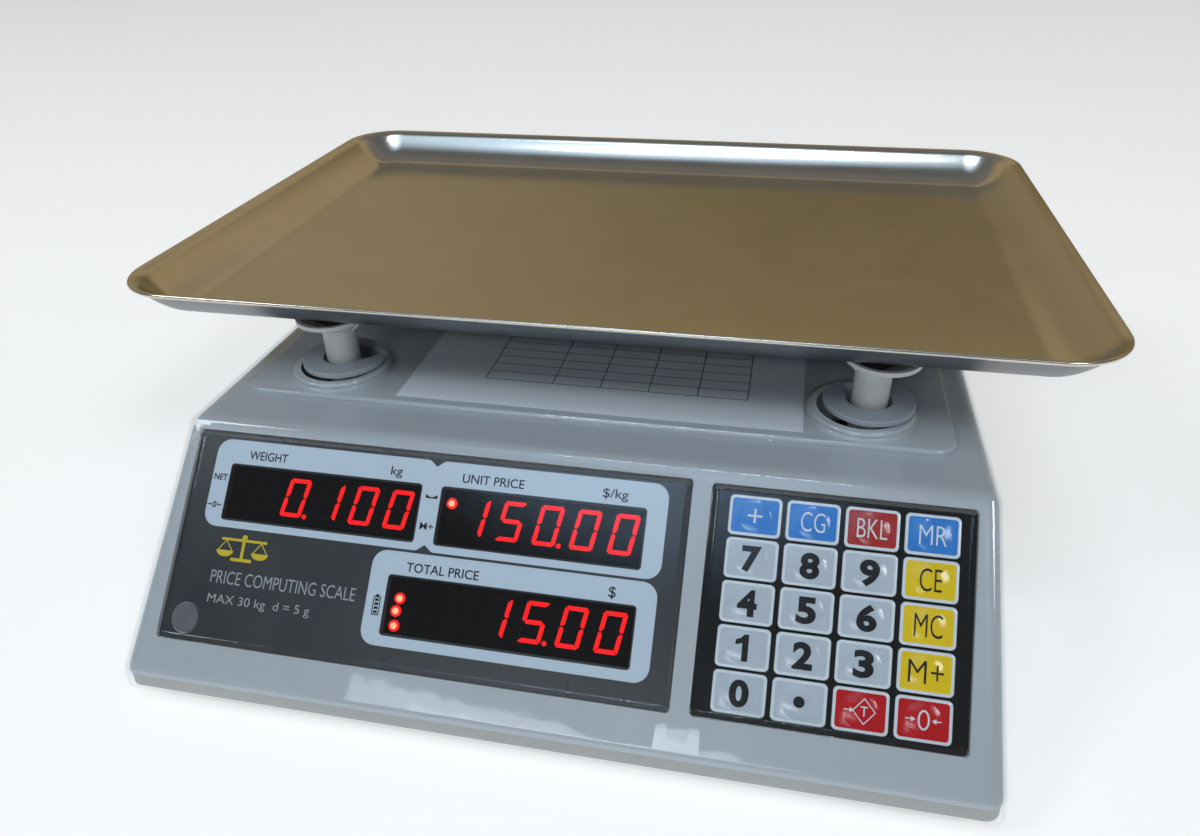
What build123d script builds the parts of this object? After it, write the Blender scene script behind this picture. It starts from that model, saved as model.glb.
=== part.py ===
from build123d import *
import math
import os

os.makedirs("parts", exist_ok=True)

# ---------------------------------------------------------------------------
# Driving dimensions, in millimetres. X runs to the viewer's right, Y runs away
# from the viewer (the keypad faces -Y) and Z is up. The feet stand on Z = 0.
# Pieces are drawn about the middle of the weighing pan. save() then moves them
# by DEPTH_SHIFT, so that the finished origin is under the middle of the body.
# ---------------------------------------------------------------------------

# body
FOOT_H = 7.4                # height of the base's underside above the bench
SEAM_Z = 13.5               # seam between base housing and top housing
DECK_Z = 79.5               # top deck of the housing
WALL = 2.5                  # housing wall
HALF_W_TOP = 138.0          # half width of the body at the deck
HALF_W_SEAM = 142.5         # half width of the body at the seam
FRONT_Y = -195.2            # front lip
REAR_Y = 143.5              # rear face at the bottom
DEPTH_SHIFT = -(FRONT_Y + REAR_Y) / 2
SIDE_R = 5.5                # rounding of the body's side edges
RIDGE_R = 9.0               # rounding where the front slope meets the deck
LIP_R = 6.0                 # rounding where the front slope meets the lip
REAR_RIDGE_R = 9.0          # rounding where the rear face meets the deck
REAR_LIP_R = 10.0           # rounding where the rear face meets the seam band
REAR_LIP_H = 6.0            # height of the rear seam band above the seam
BASE_STEP = 0.25            # how far the base stands back from the top housing at the seam

# front panel: a plane, x to the right, v down the slope from its top line
SLOPE = 46.0                # degrees from horizontal
PANEL_Y = -136.0
PANEL_Z = 76.8
# rear panel
REAR_SLOPE = 72.0
REAR_PANEL_Z = 76.0

# deck plateau and the four wells
PLATEAU_X, PLATEAU_Y, PLATEAU_H = 128.0, 114.0, 2.0
WELL_X, WELL_Y = 97.2, 93.2
RING_Z, RING_IN_R, RING_OUT_R = 84.2, 15.3, 18.3
WELL_FLOOR_Z = 75.5
WELL_HOLE_R = 10.0
PLATEAU_TOP = DECK_Z + PLATEAU_H

# weighing platform
POST_X, POST_Y = 98.0, 92.5
POST_SHIFT_X = 1.7          # the platform's posts stand a little to the right of the body's middle
POST_R, POST_BORE_R = 6.25, 4.9
CUP_SHIFT, CUP_R, CUP_Z = 2.4, 12.8, 104.2
CUP_T, FLARE_Z, FUNNEL_Z = 1.6, 99.3, 100.9    # rim thickness, foot of the flare outside and inside
GUSSET_Z = 97.2
FRAME_Z, FRAME_T = 46.0, 4.0
PAN_W, PAN_D, PAN_RIM_Z = 350.0, 233.2, 118.5
PAN_FLOOR_Z = PAN_RIM_Z - 13.3
PAN_COVE, PAN_CORNER_R, PAN_LIP, SHEET = 15.0, 24.0, 1.6, 0.8
PAN_BANDS = 6               # ruled bands that make the cove
CELL_Z, CELL_L, CELL_W, CELL_H = 18.0, 130.0, 30.0, 22.0

# display: (x left, x right, v top, v bottom)
DISPLAY = (-132.6, 44.2, 0.0, 73.2)
WINDOWS = {
    "weight": (-118.4, -47.4, 11.4, 30.8),
    "unit_price": (-39.9, 29.9, 11.4, 30.8),
    "total_price": (-53.4, 30.1, 42.6, 62.0),
}
LEVEL_X, LEVEL_V, LEVEL_R = -124.3, 65.7, 5.3

# keypad
KEYPAD = (50.3, 131.7, 0.6, 73.0)
KEY_X0, KEY_V0, KEY_DX, KEY_DV = 64.6, 9.8, 18.05, 13.65
KEY_W, KEY_H, KEY_R = 16.5, 12.8, 1.6
KEY_NAMES = [
    ["key_plus", "key_change", "key_backlight", "key_memory_recall"],
    ["key_7", "key_8", "key_9", "key_clear_entry"],
    ["key_4", "key_5", "key_6", "key_memory_clear"],
    ["key_1", "key_2", "key_3", "key_memory_add"],
    ["key_0", "key_point", "key_tare", "key_zero"],
]

# depths below the panel plane
OVERLAY_TOP, OVERLAY_T = -1.6, 0.6
MODULE_TOP, MODULE_T, BOARD_T = -2.8, 8.0, 1.6
KEY_TOP, KEY_BOTTOM = -1.7, -3.05
GRID_TOP, CIRCUIT_TOP, KEYPAD_FLOOR = -1.85, -3.8, -4.3
DOME_R, DOME_H = 5.4, 0.55         # embossed dome on each key
PAD_T = 2.2                        # wall left under each recess

COVER_GAP, COVER_T = 0.3, 0.5      # clear cover over the housing
COVER_Z = 8.2                      # bottom edge of the clear cover
COVER_R = 3.6                      # the cover's bends are tighter than the body's

# loose collars: how far each lies off its post (x, y) and which way its slot faces, in degrees
COLLAR_R, COLLAR_BORE_R, COLLAR_T = 15.5, 7.9, 1.9
COLLAR_LIFT = COVER_GAP + COVER_T + 0.1
COLLAR_POSE = {
    (-1, -1): (0.2, 0.1, 38.0),
    (1, -1): (-0.2, 0.0, 105.0),
    (-1, 1): (0.5, -0.7, -120.0),
    (1, 1): (0.2, 1.0, 60.0),
}

# feet and screws: half spacing across, then the front and the rear row
FOOT_X, FOOT_YF, FOOT_YR = 110.0, -165.0, 92.0
FOOT_R, FOOT_DISC_T, STUD_R, STUD_TOP = 14.0, 6.0, 4.03, 20.0
SCREW_X, SCREW_YF, SCREW_YR = 128.5, -140.0, 115.0
SCREW_R, SCREW_HEAD_R = 1.55, 3.2

# inside the base: x, y and z spans
BATTERY_X, BATTERY_Y, BATTERY_Z = (-130.0, -82.0), (-51.0, 50.0), (11.2, 58.0)
BATTERY_DOOR_X, BATTERY_DOOR_Y = (-126.0, -78.0), (-56.0, 56.0)
CHASSIS_Z, CHASSIS_T = 12.0, 1.5
CELL_BOLT_X, CELL_BOLT_YS, CELL_BOLT_R = 8.0, (40.0, 54.0), 2.6
CHASSIS_SCREW_X, CHASSIS_SCREW_Y = 30.0, 70.0

# power switch and mains socket in the right-hand wall
SWITCH_Y, SWITCH_Z = (30.0, 52.0), (34.0, 48.0)
INLET_Y, INLET_Z = (62.0, 84.0), (34.0, 48.0)
SOCKET_X, FLANGE_T, FLANGE_RIM = 139.9, 1.5, 1.5
ROCKER_X, ROCKER_PIN_R = 137.6, 1.4

CORNERS = {"front_left": (-1, -1), "front_right": (1, -1), "rear_left": (-1, 1), "rear_right": (1, 1)}

A = math.radians(SLOPE)
B = math.radians(REAR_SLOPE)
FRONT = Plane(origin=(0, PANEL_Y, PANEL_Z), x_dir=(1, 0, 0), z_dir=(0, -math.sin(A), math.cos(A)))
RIDGE_Y = PANEL_Y + (DECK_Z - PANEL_Z) / math.tan(A)
REAR_RIDGE_Y = REAR_Y - (DECK_Z - SEAM_Z - REAR_LIP_H) / math.tan(B)
REAR_PANEL_Y = REAR_RIDGE_Y + (DECK_Z - REAR_PANEL_Z) / math.tan(B)
REAR = Plane(origin=(0, REAR_PANEL_Y, REAR_PANEL_Z), x_dir=(-1, 0, 0), z_dir=(0, math.sin(B), math.cos(B)))

# rear display: (x left, x right, v top, v bottom) on the rear panel
REAR_DISPLAY = (-120.0, 120.0, 8.0, 46.0)
REAR_WINDOWS = [(-112.0, -42.0, 18.0, 37.0), (-35.0, 35.0, 18.0, 37.0), (42.0, 112.0, 18.0, 37.0)]


# ---------------------------------------------------------------------------
# small helpers
# ---------------------------------------------------------------------------

def box(x0, x1, y0, y1, z0, z1):
    """A box between two corners."""
    centre = ((x0 + x1) / 2, (y0 + y1) / 2, (z0 + z1) / 2)
    return Pos(*centre) * Box(x1 - x0, y1 - y0, z1 - z0)


def tube(x, y, r, z0, z1):
    """An upright cylinder."""
    return Pos(x, y, (z0 + z1) / 2) * Cylinder(r, z1 - z0)


def slab(plane, rect, n0, n1, corner=0.0):
    """A rectangular slab on a panel plane, between two depths along its normal."""
    x0, x1, v0, v1 = rect
    outline = Rectangle(x1 - x0, v1 - v0)
    if corner:
        outline = fillet(outline.vertices(), corner)
    face = Pos((x0 + x1) / 2, -(v0 + v1) / 2, n0) * outline
    return plane * extrude(face, n1 - n0)


def disc(plane, x, v, r, n0, n1):
    """A round slab on a panel plane."""
    return plane * (Pos(x, -v, (n0 + n1) / 2) * Cylinder(r, n1 - n0))


def grown(rect, by):
    """A rectangle grown on every side."""
    return (rect[0] - by, rect[1] + by, rect[2] - by, rect[3] + by)


def as_part(shape):
    """One part from a shape or a list of shapes."""
    solids = shape.solids() if hasattr(shape, "solids") else [s for one in shape for s in one.solids()]
    return Compound(children=[Pos(0, DEPTH_SHIFT, 0) * Solid(s.wrapped) for s in solids])


def save(shape, name):
    """Writes one named piece."""
    part = as_part(shape)
    part.label = name
    export_step(part, f"parts/{name}.step")


# ---------------------------------------------------------------------------
# body form, shared by the housing, its cavity and the clear cover
# ---------------------------------------------------------------------------

def body_form(grow, floor_z, bend=None):
    """The body's outer form grown by an amount and cut off at floor_z; bend replaces its roundings."""
    lip_z = PANEL_Z - (PANEL_Y - FRONT_Y) * math.tan(A)
    rear_lip_z = SEAM_Z + REAR_LIP_H
    outline = Polyline(
        (FRONT_Y, -30), (FRONT_Y, lip_z), (RIDGE_Y, DECK_Z), (REAR_RIDGE_Y, DECK_Z),
        (REAR_Y, rear_lip_z), (REAR_Y, -30), close=True,
    )
    profile = make_face(outline)
    rounded = {(FRONT_Y, lip_z): LIP_R, (RIDGE_Y, DECK_Z): RIDGE_R,
               (REAR_RIDGE_Y, DECK_Z): REAR_RIDGE_R, (REAR_Y, rear_lip_z): REAR_LIP_R}
    for (y, z), r in rounded.items():
        corner = profile.vertices().sort_by_distance((y, z, 0))[0]
        profile = fillet(corner, bend or r)
    if grow:
        profile = offset(profile, amount=grow, kind=Kind.INTERSECTION)
    form = extrude(Plane.YZ * profile, 200, both=True)
    lean = (HALF_W_SEAM - HALF_W_TOP) / (DECK_Z - SEAM_Z)
    low, high = -60.0, 120.0
    half_low = HALF_W_SEAM + (SEAM_Z - low) * lean + grow
    half_high = HALF_W_SEAM - (high - SEAM_Z) * lean + grow
    corners = [(-half_low, low), (half_low, low), (half_high, high), (-half_high, high)]
    sides = make_face(Polyline(*corners, close=True))
    form = form & extrude(Plane.XZ * sides, 300, both=True)
    side_edges = [e for e in form.edges() if abs(e.center().X) > 120 and e.center().Z > -25 + grow]
    long_edges = [e for e in side_edges if abs(e.tangent_at(0.5).X) < 0.5]
    form = fillet(long_edges, (bend or SIDE_R) + grow)
    return form & box(-200, 200, -250, 200, floor_z, 150)


def deck_form(grow):
    """The raised plateau and the four ring bosses on the deck."""
    plate = Rectangle(2 * (PLATEAU_X + grow), 2 * (PLATEAU_Y + grow))
    plate = fillet(plate.vertices(), 8 + grow)
    plateau = extrude(Pos(0, 0, DECK_Z - 1) * plate, PLATEAU_H + 1 + grow)
    top_edges = plateau.edges().group_by(Axis.Z)[-1]
    form = fillet(top_edges, 1.4)
    for sx, sy in CORNERS.values():
        cone = Cone(RING_OUT_R + 2.6 + grow, RING_OUT_R + 0.05 + grow, 4)
        foot = Pos(sx * WELL_X, sy * WELL_Y, DECK_Z + 1) * cone
        ring = tube(sx * WELL_X, sy * WELL_Y, RING_OUT_R + grow, DECK_Z - 1, RING_Z + grow)
        ring = fillet(ring.edges().group_by(Axis.Z)[-1], 1.0)
        form = form + foot + ring
    return form


def well_hollows(r_top, floor_z, r_hole):
    """What is cut away at each well: the wide well and the hole in its floor."""
    cuts = []
    for sx, sy in CORNERS.values():
        cuts.append(tube(sx * WELL_X, sy * WELL_Y, r_top, floor_z, 120))
        cuts.append(tube(sx * WELL_X, sy * WELL_Y, r_hole, 50, 120))
    return cuts


# ---------------------------------------------------------------------------
# housings and cover
# ---------------------------------------------------------------------------

def top_housing():
    """Upper shell: slope with two recesses, deck, plateau, wells, rear panel and screw bosses."""
    shell = body_form(0, SEAM_Z) + deck_form(0)
    cavity = body_form(-WALL, SEAM_Z - 5)
    shell = shell - cavity
    inside = body_form(-0.2, SEAM_Z)
    recess = OVERLAY_TOP - OVERLAY_T
    pads = slab(FRONT, grown(DISPLAY, 3), recess - PAD_T, -1.0)
    pads = pads + slab(FRONT, grown(KEYPAD, 3), KEYPAD_FLOOR - PAD_T, -1.0)
    pads = pads + slab(REAR, grown(REAR_DISPLAY, 3), recess - PAD_T, -1.0)
    for sx, sy in CORNERS.values():
        pads = pads + tube(sx * WELL_X, sy * WELL_Y, RING_IN_R + 2.2, WELL_FLOOR_Z - WALL, DECK_Z - 1)
        boss_y = SCREW_YF if sy < 0 else SCREW_YR
        boss_top = 70.0 if sy < 0 else DECK_Z - 1
        boss = tube(sx * SCREW_X, boss_y, 4.5, SEAM_Z + 3, boss_top)
        pads = pads + boss
    shell = shell + (pads & inside)
    shell = shell - slab(FRONT, DISPLAY, recess, 5, 1.5)
    shell = shell - slab(FRONT, KEYPAD, KEYPAD_FLOOR, 5, 1.5)
    shell = shell - slab(REAR, REAR_DISPLAY, recess, 5, 1.5)
    for rect in WINDOWS.values():
        shell = shell - slab(FRONT, grown(rect, -0.4), -8, 0)
    for rect in REAR_WINDOWS:
        shell = shell - slab(REAR, grown(rect, -0.4), -8, 0)
    shell = shell - disc(FRONT, LEVEL_X, LEVEL_V, LEVEL_R - 0.4, -8, 0)
    for cut in well_hollows(RING_IN_R, WELL_FLOOR_Z, WELL_HOLE_R):
        shell = shell - cut
    for sx, sy in CORNERS.values():
        boss_y = SCREW_YF if sy < 0 else SCREW_YR
        shell = shell - tube(sx * SCREW_X, boss_y, 1.6, SEAM_Z + 2, SEAM_Z + 20)
    for (y0, y1), (z0, z1) in ((SWITCH_Y, SWITCH_Z), (INLET_Y, INLET_Z)):
        shell = shell - box(130, 150, y0, y1, z0, z1)
        pocket = FLANGE_RIM + 0.3
        shell = shell - box(SOCKET_X, 150, y0 - pocket, y1 + pocket, z0 - pocket, z1 + pocket)
    return shell


def base_housing():
    """Lower tray: floor, low wall, inner lip, bosses for feet and screws, battery opening."""
    tray = body_form(-BASE_STEP, FOOT_H) & box(-200, 200, -250, 200, FOOT_H, SEAM_Z - 0.4)
    bottom = tray.edges().group_by(Axis.Z)[0]
    tray = chamfer(bottom, 0.8)
    tray = tray - (body_form(-WALL, FOOT_H + WALL) & box(-200, 200, -250, 200, 0, 60))
    lip = (body_form(-WALL - 0.35, FOOT_H + WALL) - body_form(-WALL - 1.9, FOOT_H))
    tray = tray + (lip & box(-200, 200, -250, 200, FOOT_H + WALL, SEAM_Z + 3.5))
    for sx, sy in CORNERS.values():
        foot_y = FOOT_YF if sy < 0 else FOOT_YR
        screw_y = SCREW_YF if sy < 0 else SCREW_YR
        tray = tray + tube(sx * FOOT_X, foot_y, 8, FOOT_H + 1, 21)
        tray = tray + tube(sx * SCREW_X, screw_y, 6, FOOT_H + 1, SEAM_Z + 2.6)
    for sx, sy in CORNERS.values():
        foot_y = FOOT_YF if sy < 0 else FOOT_YR
        screw_y = SCREW_YF if sy < 0 else SCREW_YR
        tray = tray - tube(sx * FOOT_X, foot_y, 4.1, 0, 40)
        tray = tray - tube(sx * SCREW_X, screw_y, 3.6, 0, FOOT_H + 4)
        tray = tray - tube(sx * SCREW_X, screw_y, 1.9, 0, 40)
    tray = tray - box(*BATTERY_DOOR_X, *BATTERY_DOOR_Y, 0, 12)
    for sx, sy in CORNERS.values():
        x, y = sx * CHASSIS_SCREW_X, sy * CHASSIS_SCREW_Y
        tray = tray + (tube(x, y, 5, FOOT_H + 1, CHASSIS_Z) - tube(x, y, 1.6, FOOT_H + 2, 20))
    return tray


def dust_cover():
    """Clear thin cover over the whole body, open at the four wells."""
    outer = body_form(COVER_GAP + COVER_T, COVER_Z, COVER_R) + deck_form(COVER_GAP + COVER_T)
    inner = body_form(COVER_GAP, COVER_Z - 5, COVER_R) + deck_form(COVER_GAP)
    cover = outer - inner
    for sx, sy in CORNERS.values():
        cover = cover - tube(sx * WELL_X, sy * WELL_Y, RING_IN_R + 1.4, 60, 120)
    cover = cover - box(135, 160, SWITCH_Y[0] - 4, INLET_Y[1] + 4, 0, SWITCH_Z[1] + 4)
    return cover


# ---------------------------------------------------------------------------
# weighing platform and pan
# ---------------------------------------------------------------------------

def post_place(sx, sy):
    """Where a post stands."""
    return POST_SHIFT_X + sx * POST_X, sy * POST_Y


def support_post(sx, sy):
    """A hollow post: flanged foot on the frame, tube, and a cup set off outward at the top."""
    x, y = post_place(sx, sy)
    cup_x = x + sx * CUP_SHIFT
    base = tube(x, y, 12, FRAME_Z + FRAME_T, FRAME_Z + FRAME_T + 3)
    stem = tube(x, y, POST_R, FRAME_Z + FRAME_T, FUNNEL_Z + 1.0)
    low = Pos(x, y, FLARE_Z) * Circle(POST_R)
    high = Pos(cup_x, y, CUP_Z - CUP_T) * Circle(CUP_R)
    flare = loft([low, high])
    rim = tube(cup_x, y, CUP_R, CUP_Z - CUP_T, CUP_Z)
    post = base + stem + flare + rim
    hollow_low = Pos(x, y, FUNNEL_Z) * Circle(POST_BORE_R)
    hollow_high = Pos(cup_x, y, CUP_Z) * Circle(CUP_R - 1.5)
    bore = tube(x, y, POST_BORE_R, FRAME_Z + FRAME_T, FUNNEL_Z + 1.0)
    post = post - loft([hollow_low, hollow_high]) - bore
    near, far = x - sx * 5.6, x - sx * 11.6
    wedge = make_face(Polyline((near, GUSSET_Z), (near, CUP_Z - 0.6), (far, CUP_Z - 0.6), close=True))
    gusset = extrude(Plane.XZ.offset(-y) * wedge, 0.9, both=True)
    return post + gusset


def transit_collar(sx, sy):
    """A loose C-shaped collar round a post, lying off-centre on the well ring."""
    shift_x, shift_y, slot_deg = COLLAR_POSE[(sx, sy)]
    x, y = post_place(sx, sy)
    ring = Cylinder(COLLAR_R, COLLAR_T)
    ring = fillet(ring.edges().group_by(Axis.Z)[-1], 0.6)
    ring = ring - Cylinder(COLLAR_BORE_R, COLLAR_T + 1)
    slot = Pos(10, 0, 0) * Box(20, 13.4, COLLAR_T + 1)
    place = Pos(x + shift_x, y + shift_y, RING_Z + COLLAR_T / 2 + COLLAR_LIFT)
    return place * (Rot(0, 0, slot_deg) * (ring - slot))


def pan_support_frame():
    """Cast frame over the load cell: hub, four arms with ribs, round pads under the posts."""
    frame = box(-24, 24, -62, 62, FRAME_Z, FRAME_Z + FRAME_T)
    for sx, sy in CORNERS.values():
        x, y = post_place(sx, sy)
        reach = math.hypot(x, y)
        turn = math.degrees(math.atan2(y, x))
        arm = Pos(reach / 2, 0, FRAME_Z + FRAME_T / 2) * Box(reach, 22, FRAME_T)
        rib = Pos(reach / 2, 0, FRAME_Z - 2) * Box(reach - 16, 4, 8)
        frame = frame + Rot(0, 0, turn) * arm
        frame = frame + Rot(0, 0, turn) * (rib - Pos(20, 0, FRAME_Z - 4) * Box(70, 10, 8))
        frame = frame + tube(x, y, 14, FRAME_Z, FRAME_Z + FRAME_T)
    frame = frame + box(-CELL_W / 2, CELL_W / 2, 32, 62, CELL_Z + CELL_H, FRAME_Z + 1)
    for sx in (-1, 1):
        for y in CELL_BOLT_YS:
            frame = frame - tube(sx * CELL_BOLT_X, y, CELL_BOLT_R, 30, 60)
    return frame


def pan_outline(inset, z):
    """The pan's outline at a height, drawn in from its rim by an inset."""
    sketch = Rectangle(PAN_W - 2 * inset, PAN_D - 2 * inset)
    return Pos(0, 0, z) * fillet(sketch.vertices(), PAN_CORNER_R - inset)


def pan_volume(drop, shrink, above):
    """What the pan's cove encloses, as ruled bands from the rim down to the floor."""
    depth = PAN_RIM_Z - PAN_FLOOR_Z
    rings = [(PAN_LIP + shrink, PAN_RIM_Z + drop + above)] if above else []
    for i in range(PAN_BANDS + 1):
        turn = math.radians(90 * i / PAN_BANDS)
        inset = PAN_LIP + (PAN_COVE - PAN_LIP) * (1 - math.cos(turn)) ** 0.9
        rings.append((inset + shrink, PAN_RIM_Z + drop - depth * math.sin(turn) ** 1.05))
    pairs = zip(rings[1:], rings)
    bands = [loft([pan_outline(*low), pan_outline(*high)], ruled=True) for low, high in pairs]
    volume = bands[0]
    for band in bands[1:]:
        volume = volume + band
    return volume


def weighing_pan():
    """Pressed stainless tray: flat floor, curved cove all round, thin rolled lip."""
    hollow = pan_volume(0.0, SHEET, 3.0)
    lip = extrude(pan_outline(0, PAN_RIM_Z - PAN_LIP), PAN_LIP)
    lip = fillet(lip.edges().group_by(Axis.Z)[-1], 0.7)
    return pan_volume(-SHEET, 0.0, 0) - hollow + (lip - hollow)


def pan_locating_studs():
    """Four pegs under the pan that drop into the posts' bores."""
    studs = []
    for sx, sy in CORNERS.values():
        x, y = post_place(sx, sy)
        pad = tube(x, y, 9.0, CUP_Z, PAN_FLOOR_Z - SHEET)
        peg = tube(x, y, 4.4, 92, CUP_Z + 0.1)
        peg = chamfer(peg.edges().group_by(Axis.Z)[0], 0.8)
        studs.append(peg + pad)
    return studs


# ---------------------------------------------------------------------------
# front display
# ---------------------------------------------------------------------------

def front_overlay():
    """Black sheet with three window openings and the round level window."""
    sheet = slab(FRONT, grown(DISPLAY, -0.15), OVERLAY_TOP - OVERLAY_T, OVERLAY_TOP, 1.4)
    for rect in WINDOWS.values():
        sheet = sheet - slab(FRONT, rect, -3, 3, 1.0)
    return sheet - disc(FRONT, LEVEL_X, LEVEL_V, LEVEL_R, -3, 3)


def windows(plane, rects):
    """Smoked windows filling the overlay's openings."""
    return [slab(plane, rect, OVERLAY_TOP - OVERLAY_T, OVERLAY_TOP - 0.05, 1.0) for rect in rects]


def led_modules(plane, rects):
    """Seven-segment display modules behind the windows."""
    return [slab(plane, grown(rect, -0.8), MODULE_TOP - MODULE_T, MODULE_TOP) for rect in rects]


def display_board(plane, rect):
    """Circuit board that carries the display modules."""
    top = MODULE_TOP - MODULE_T
    return slab(plane, rect, top - BOARD_T, top, 2.0)


def indicator_leds():
    """Round indicator lamps beside the digits: total row, unit row and weight row."""
    spots = [(-48.9, 49.8), (-49.6, 54.0), (-49.4, 58.8), (-36.2, 16.5), (-36.4, 21.5)]
    return [disc(FRONT, x, v, 1.5, MODULE_TOP, MODULE_TOP + 0.5) for x, v in spots]


def level_vial():
    """Small bull's-eye spirit level set behind the round window."""
    x, v = LEVEL_X, LEVEL_V
    holder = disc(FRONT, x, v, LEVEL_R + 2.5, -8.5, OVERLAY_TOP - OVERLAY_T - PAD_T - 0.05)
    holder = holder - disc(FRONT, x, v, LEVEL_R - 0.3, -7.5, 0)
    glass = disc(FRONT, x, v, LEVEL_R - 0.5, -7.4, OVERLAY_TOP - 0.1)
    return [holder, glass]


# ---------------------------------------------------------------------------
# keypad
# ---------------------------------------------------------------------------

def key_centre(column, row):
    """Centre of a key on the front panel."""
    return KEY_X0 + KEY_DX * column, KEY_V0 + KEY_DV * row


def key_rect(column, row, by=0.0):
    """A key's outline, grown on every side."""
    x, v = key_centre(column, row)
    return grown((x - KEY_W / 2, x + KEY_W / 2, v - KEY_H / 2, v + KEY_H / 2), by)


def keypad_overlay():
    """Black keypad grid with a window for each key."""
    grid = slab(FRONT, grown(KEYPAD, -0.15), CIRCUIT_TOP, GRID_TOP, 1.4)
    for row in range(5):
        for column in range(4):
            grid = grid - slab(FRONT, key_rect(column, row, 0.15), -5, 3, KEY_R)
    return grid


def key(column, row):
    """A printed key: a thin plate with a low embossed dome."""
    x, v = key_centre(column, row)
    plate = slab(FRONT, key_rect(column, row), KEY_BOTTOM, KEY_TOP, KEY_R)
    sphere_r = (DOME_R ** 2 + DOME_H ** 2) / (2 * DOME_H)
    ball = Pos(x, -v, KEY_TOP + DOME_H - sphere_r) * Sphere(sphere_r)
    cap = ball & (Pos(x, -v, KEY_TOP + 0.9) * Cylinder(DOME_R + 0.4, 2.0))
    return plate + FRONT * cap


def keypad_circuit():
    """Membrane circuit under the keys, with a snap dome for each key."""
    pieces = [slab(FRONT, grown(KEYPAD, -0.15), KEYPAD_FLOOR, CIRCUIT_TOP, 1.4)]
    for row in range(5):
        for column in range(4):
            x, v = key_centre(column, row)
            pieces.append(disc(FRONT, x, v, 4.0, CIRCUIT_TOP, CIRCUIT_TOP + 0.28))
    return pieces


# ---------------------------------------------------------------------------
# inside the base
# ---------------------------------------------------------------------------

def load_cell():
    """Single-point bending beam with its two joined round cut-outs."""
    z_mid = CELL_Z + CELL_H / 2
    beam = box(-CELL_W / 2, CELL_W / 2, -CELL_L / 2, CELL_L / 2, CELL_Z, CELL_Z + CELL_H)
    for y in (-13, 13):
        beam = beam - Pos(0, y, z_mid) * (Rot(0, 90, 0) * Cylinder(8, 60))
    beam = beam - box(-30, 30, -13, 13, z_mid - 3, z_mid + 3)
    for sx in (-1, 1):
        for sy in (-1, 1):
            for y in CELL_BOLT_YS:
                beam = beam - tube(sx * CELL_BOLT_X, sy * y, CELL_BOLT_R, 0, 80)
    return beam


def chassis_plate():
    """Steel plate on the base bosses with the block that holds the load cell's fixed end."""
    top = CHASSIS_Z + CHASSIS_T
    plate = box(-42, 42, -82, 82, CHASSIS_Z, top)
    plate = plate + box(-CELL_W / 2, CELL_W / 2, -CELL_L / 2, -32, top, CELL_Z)
    for sx in (-1, 1):
        for y in CELL_BOLT_YS:
            plate = plate - tube(sx * CELL_BOLT_X, -y, CELL_BOLT_R, 0, 80)
        for sy in (-1, 1):
            plate = plate - tube(sx * CHASSIS_SCREW_X, sy * CHASSIS_SCREW_Y, 1.9, 0, 80)
    return plate


def mainboard():
    """Main circuit board with its chips, on four short pillars."""
    board = box(-55, 55, -152, -92, 16.0, 17.6)
    pieces = [board]
    for x in (-50, 50):
        for y in (-147, -97):
            pieces.append(tube(x, y, 3, FOOT_H + WALL, 16.0))
    pieces.append(box(-20, -6, -130, -116, 17.6, 19.2))
    pieces.append(box(10, 30, -126, -118, 17.6, 21.0))
    pieces.append(box(-45, -30, -110, -100, 17.6, 26.0))
    for x in (36, 46):
        pieces.append(tube(x, -106, 4, 17.6, 29.0))
    return pieces


def transformer():
    """Mains transformer: laminated core with a winding between its legs."""
    x0, x1 = 88, 128             # laminated core
    window_y = (6.0, 14.0)       # the two windows that the winding passes through
    window_z = (18.0, 37.0)
    gap = 0.2
    out_x0, out_x1 = x0 - 8, x1 + 6
    coil_z = (window_z[0] + gap, window_z[1] - gap)
    side = window_y[1] - gap
    core = box(x0, x1, -22, 22, FOOT_H + WALL, 44)
    winding = box(out_x0, x0 - gap, -side, side, *coil_z) + box(x1 + gap, out_x1, -side, side, *coil_z)
    for sy in (-1, 1):
        y0, y1 = sorted((sy * window_y[0], sy * window_y[1]))
        core = core - box(out_x0, out_x1, y0, y1, *window_z)
        winding = winding + box(out_x0, out_x1, y0 + gap, y1 - gap, *coil_z)
    return [core, winding]


def socket_flange(y_span, z_span):
    """The flat rim of a switch or socket, lying on the right-hand wall."""
    (y0, y1), (z0, z1) = y_span, z_span
    rim = FLANGE_RIM
    return box(SOCKET_X, SOCKET_X + FLANGE_T, y0 - rim, y1 + rim, z0 - rim, z1 + rim)


def rocker_frame():
    """Switch frame in the right-hand wall, open in the middle for the rocker."""
    y0, y1 = SWITCH_Y
    z0, z1 = SWITCH_Z
    body = box(124, SOCKET_X + 0.1, y0 + 0.3, y1 - 0.3, z0 + 0.3, z1 - 0.3)
    flange = socket_flange(SWITCH_Y, SWITCH_Z)
    frame = body + flange - box(131, 150, y0 + 2, y1 - 2, z0 + 2, z1 - 2)
    return frame - tube(ROCKER_X, (y0 + y1) / 2, ROCKER_PIN_R + 0.06, z0 + 0.9, z1 - 0.9)


def power_rocker():
    """Rocker paddle, drawn at the on position, turning about an axis along Z."""
    y = (SWITCH_Y[0] + SWITCH_Y[1]) / 2
    z0, z1 = SWITCH_Z[0] + 2.4, SWITCH_Z[1] - 2.4
    outline = [(-8.0, 6.6), (8.0, 5.0), (6.6, 0.5), (2.2, -2.6), (-2.2, -2.6), (-6.6, 0.5)]
    body = extrude(make_face(Polyline(*outline, close=True)), z1 - z0)
    pin = tube(ROCKER_X, y, ROCKER_PIN_R, SWITCH_Z[0] + 1.0, SWITCH_Z[1] - 1.0)
    return Pos(ROCKER_X, y, z0) * (Rot(0, 0, -90) * body) + pin


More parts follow.
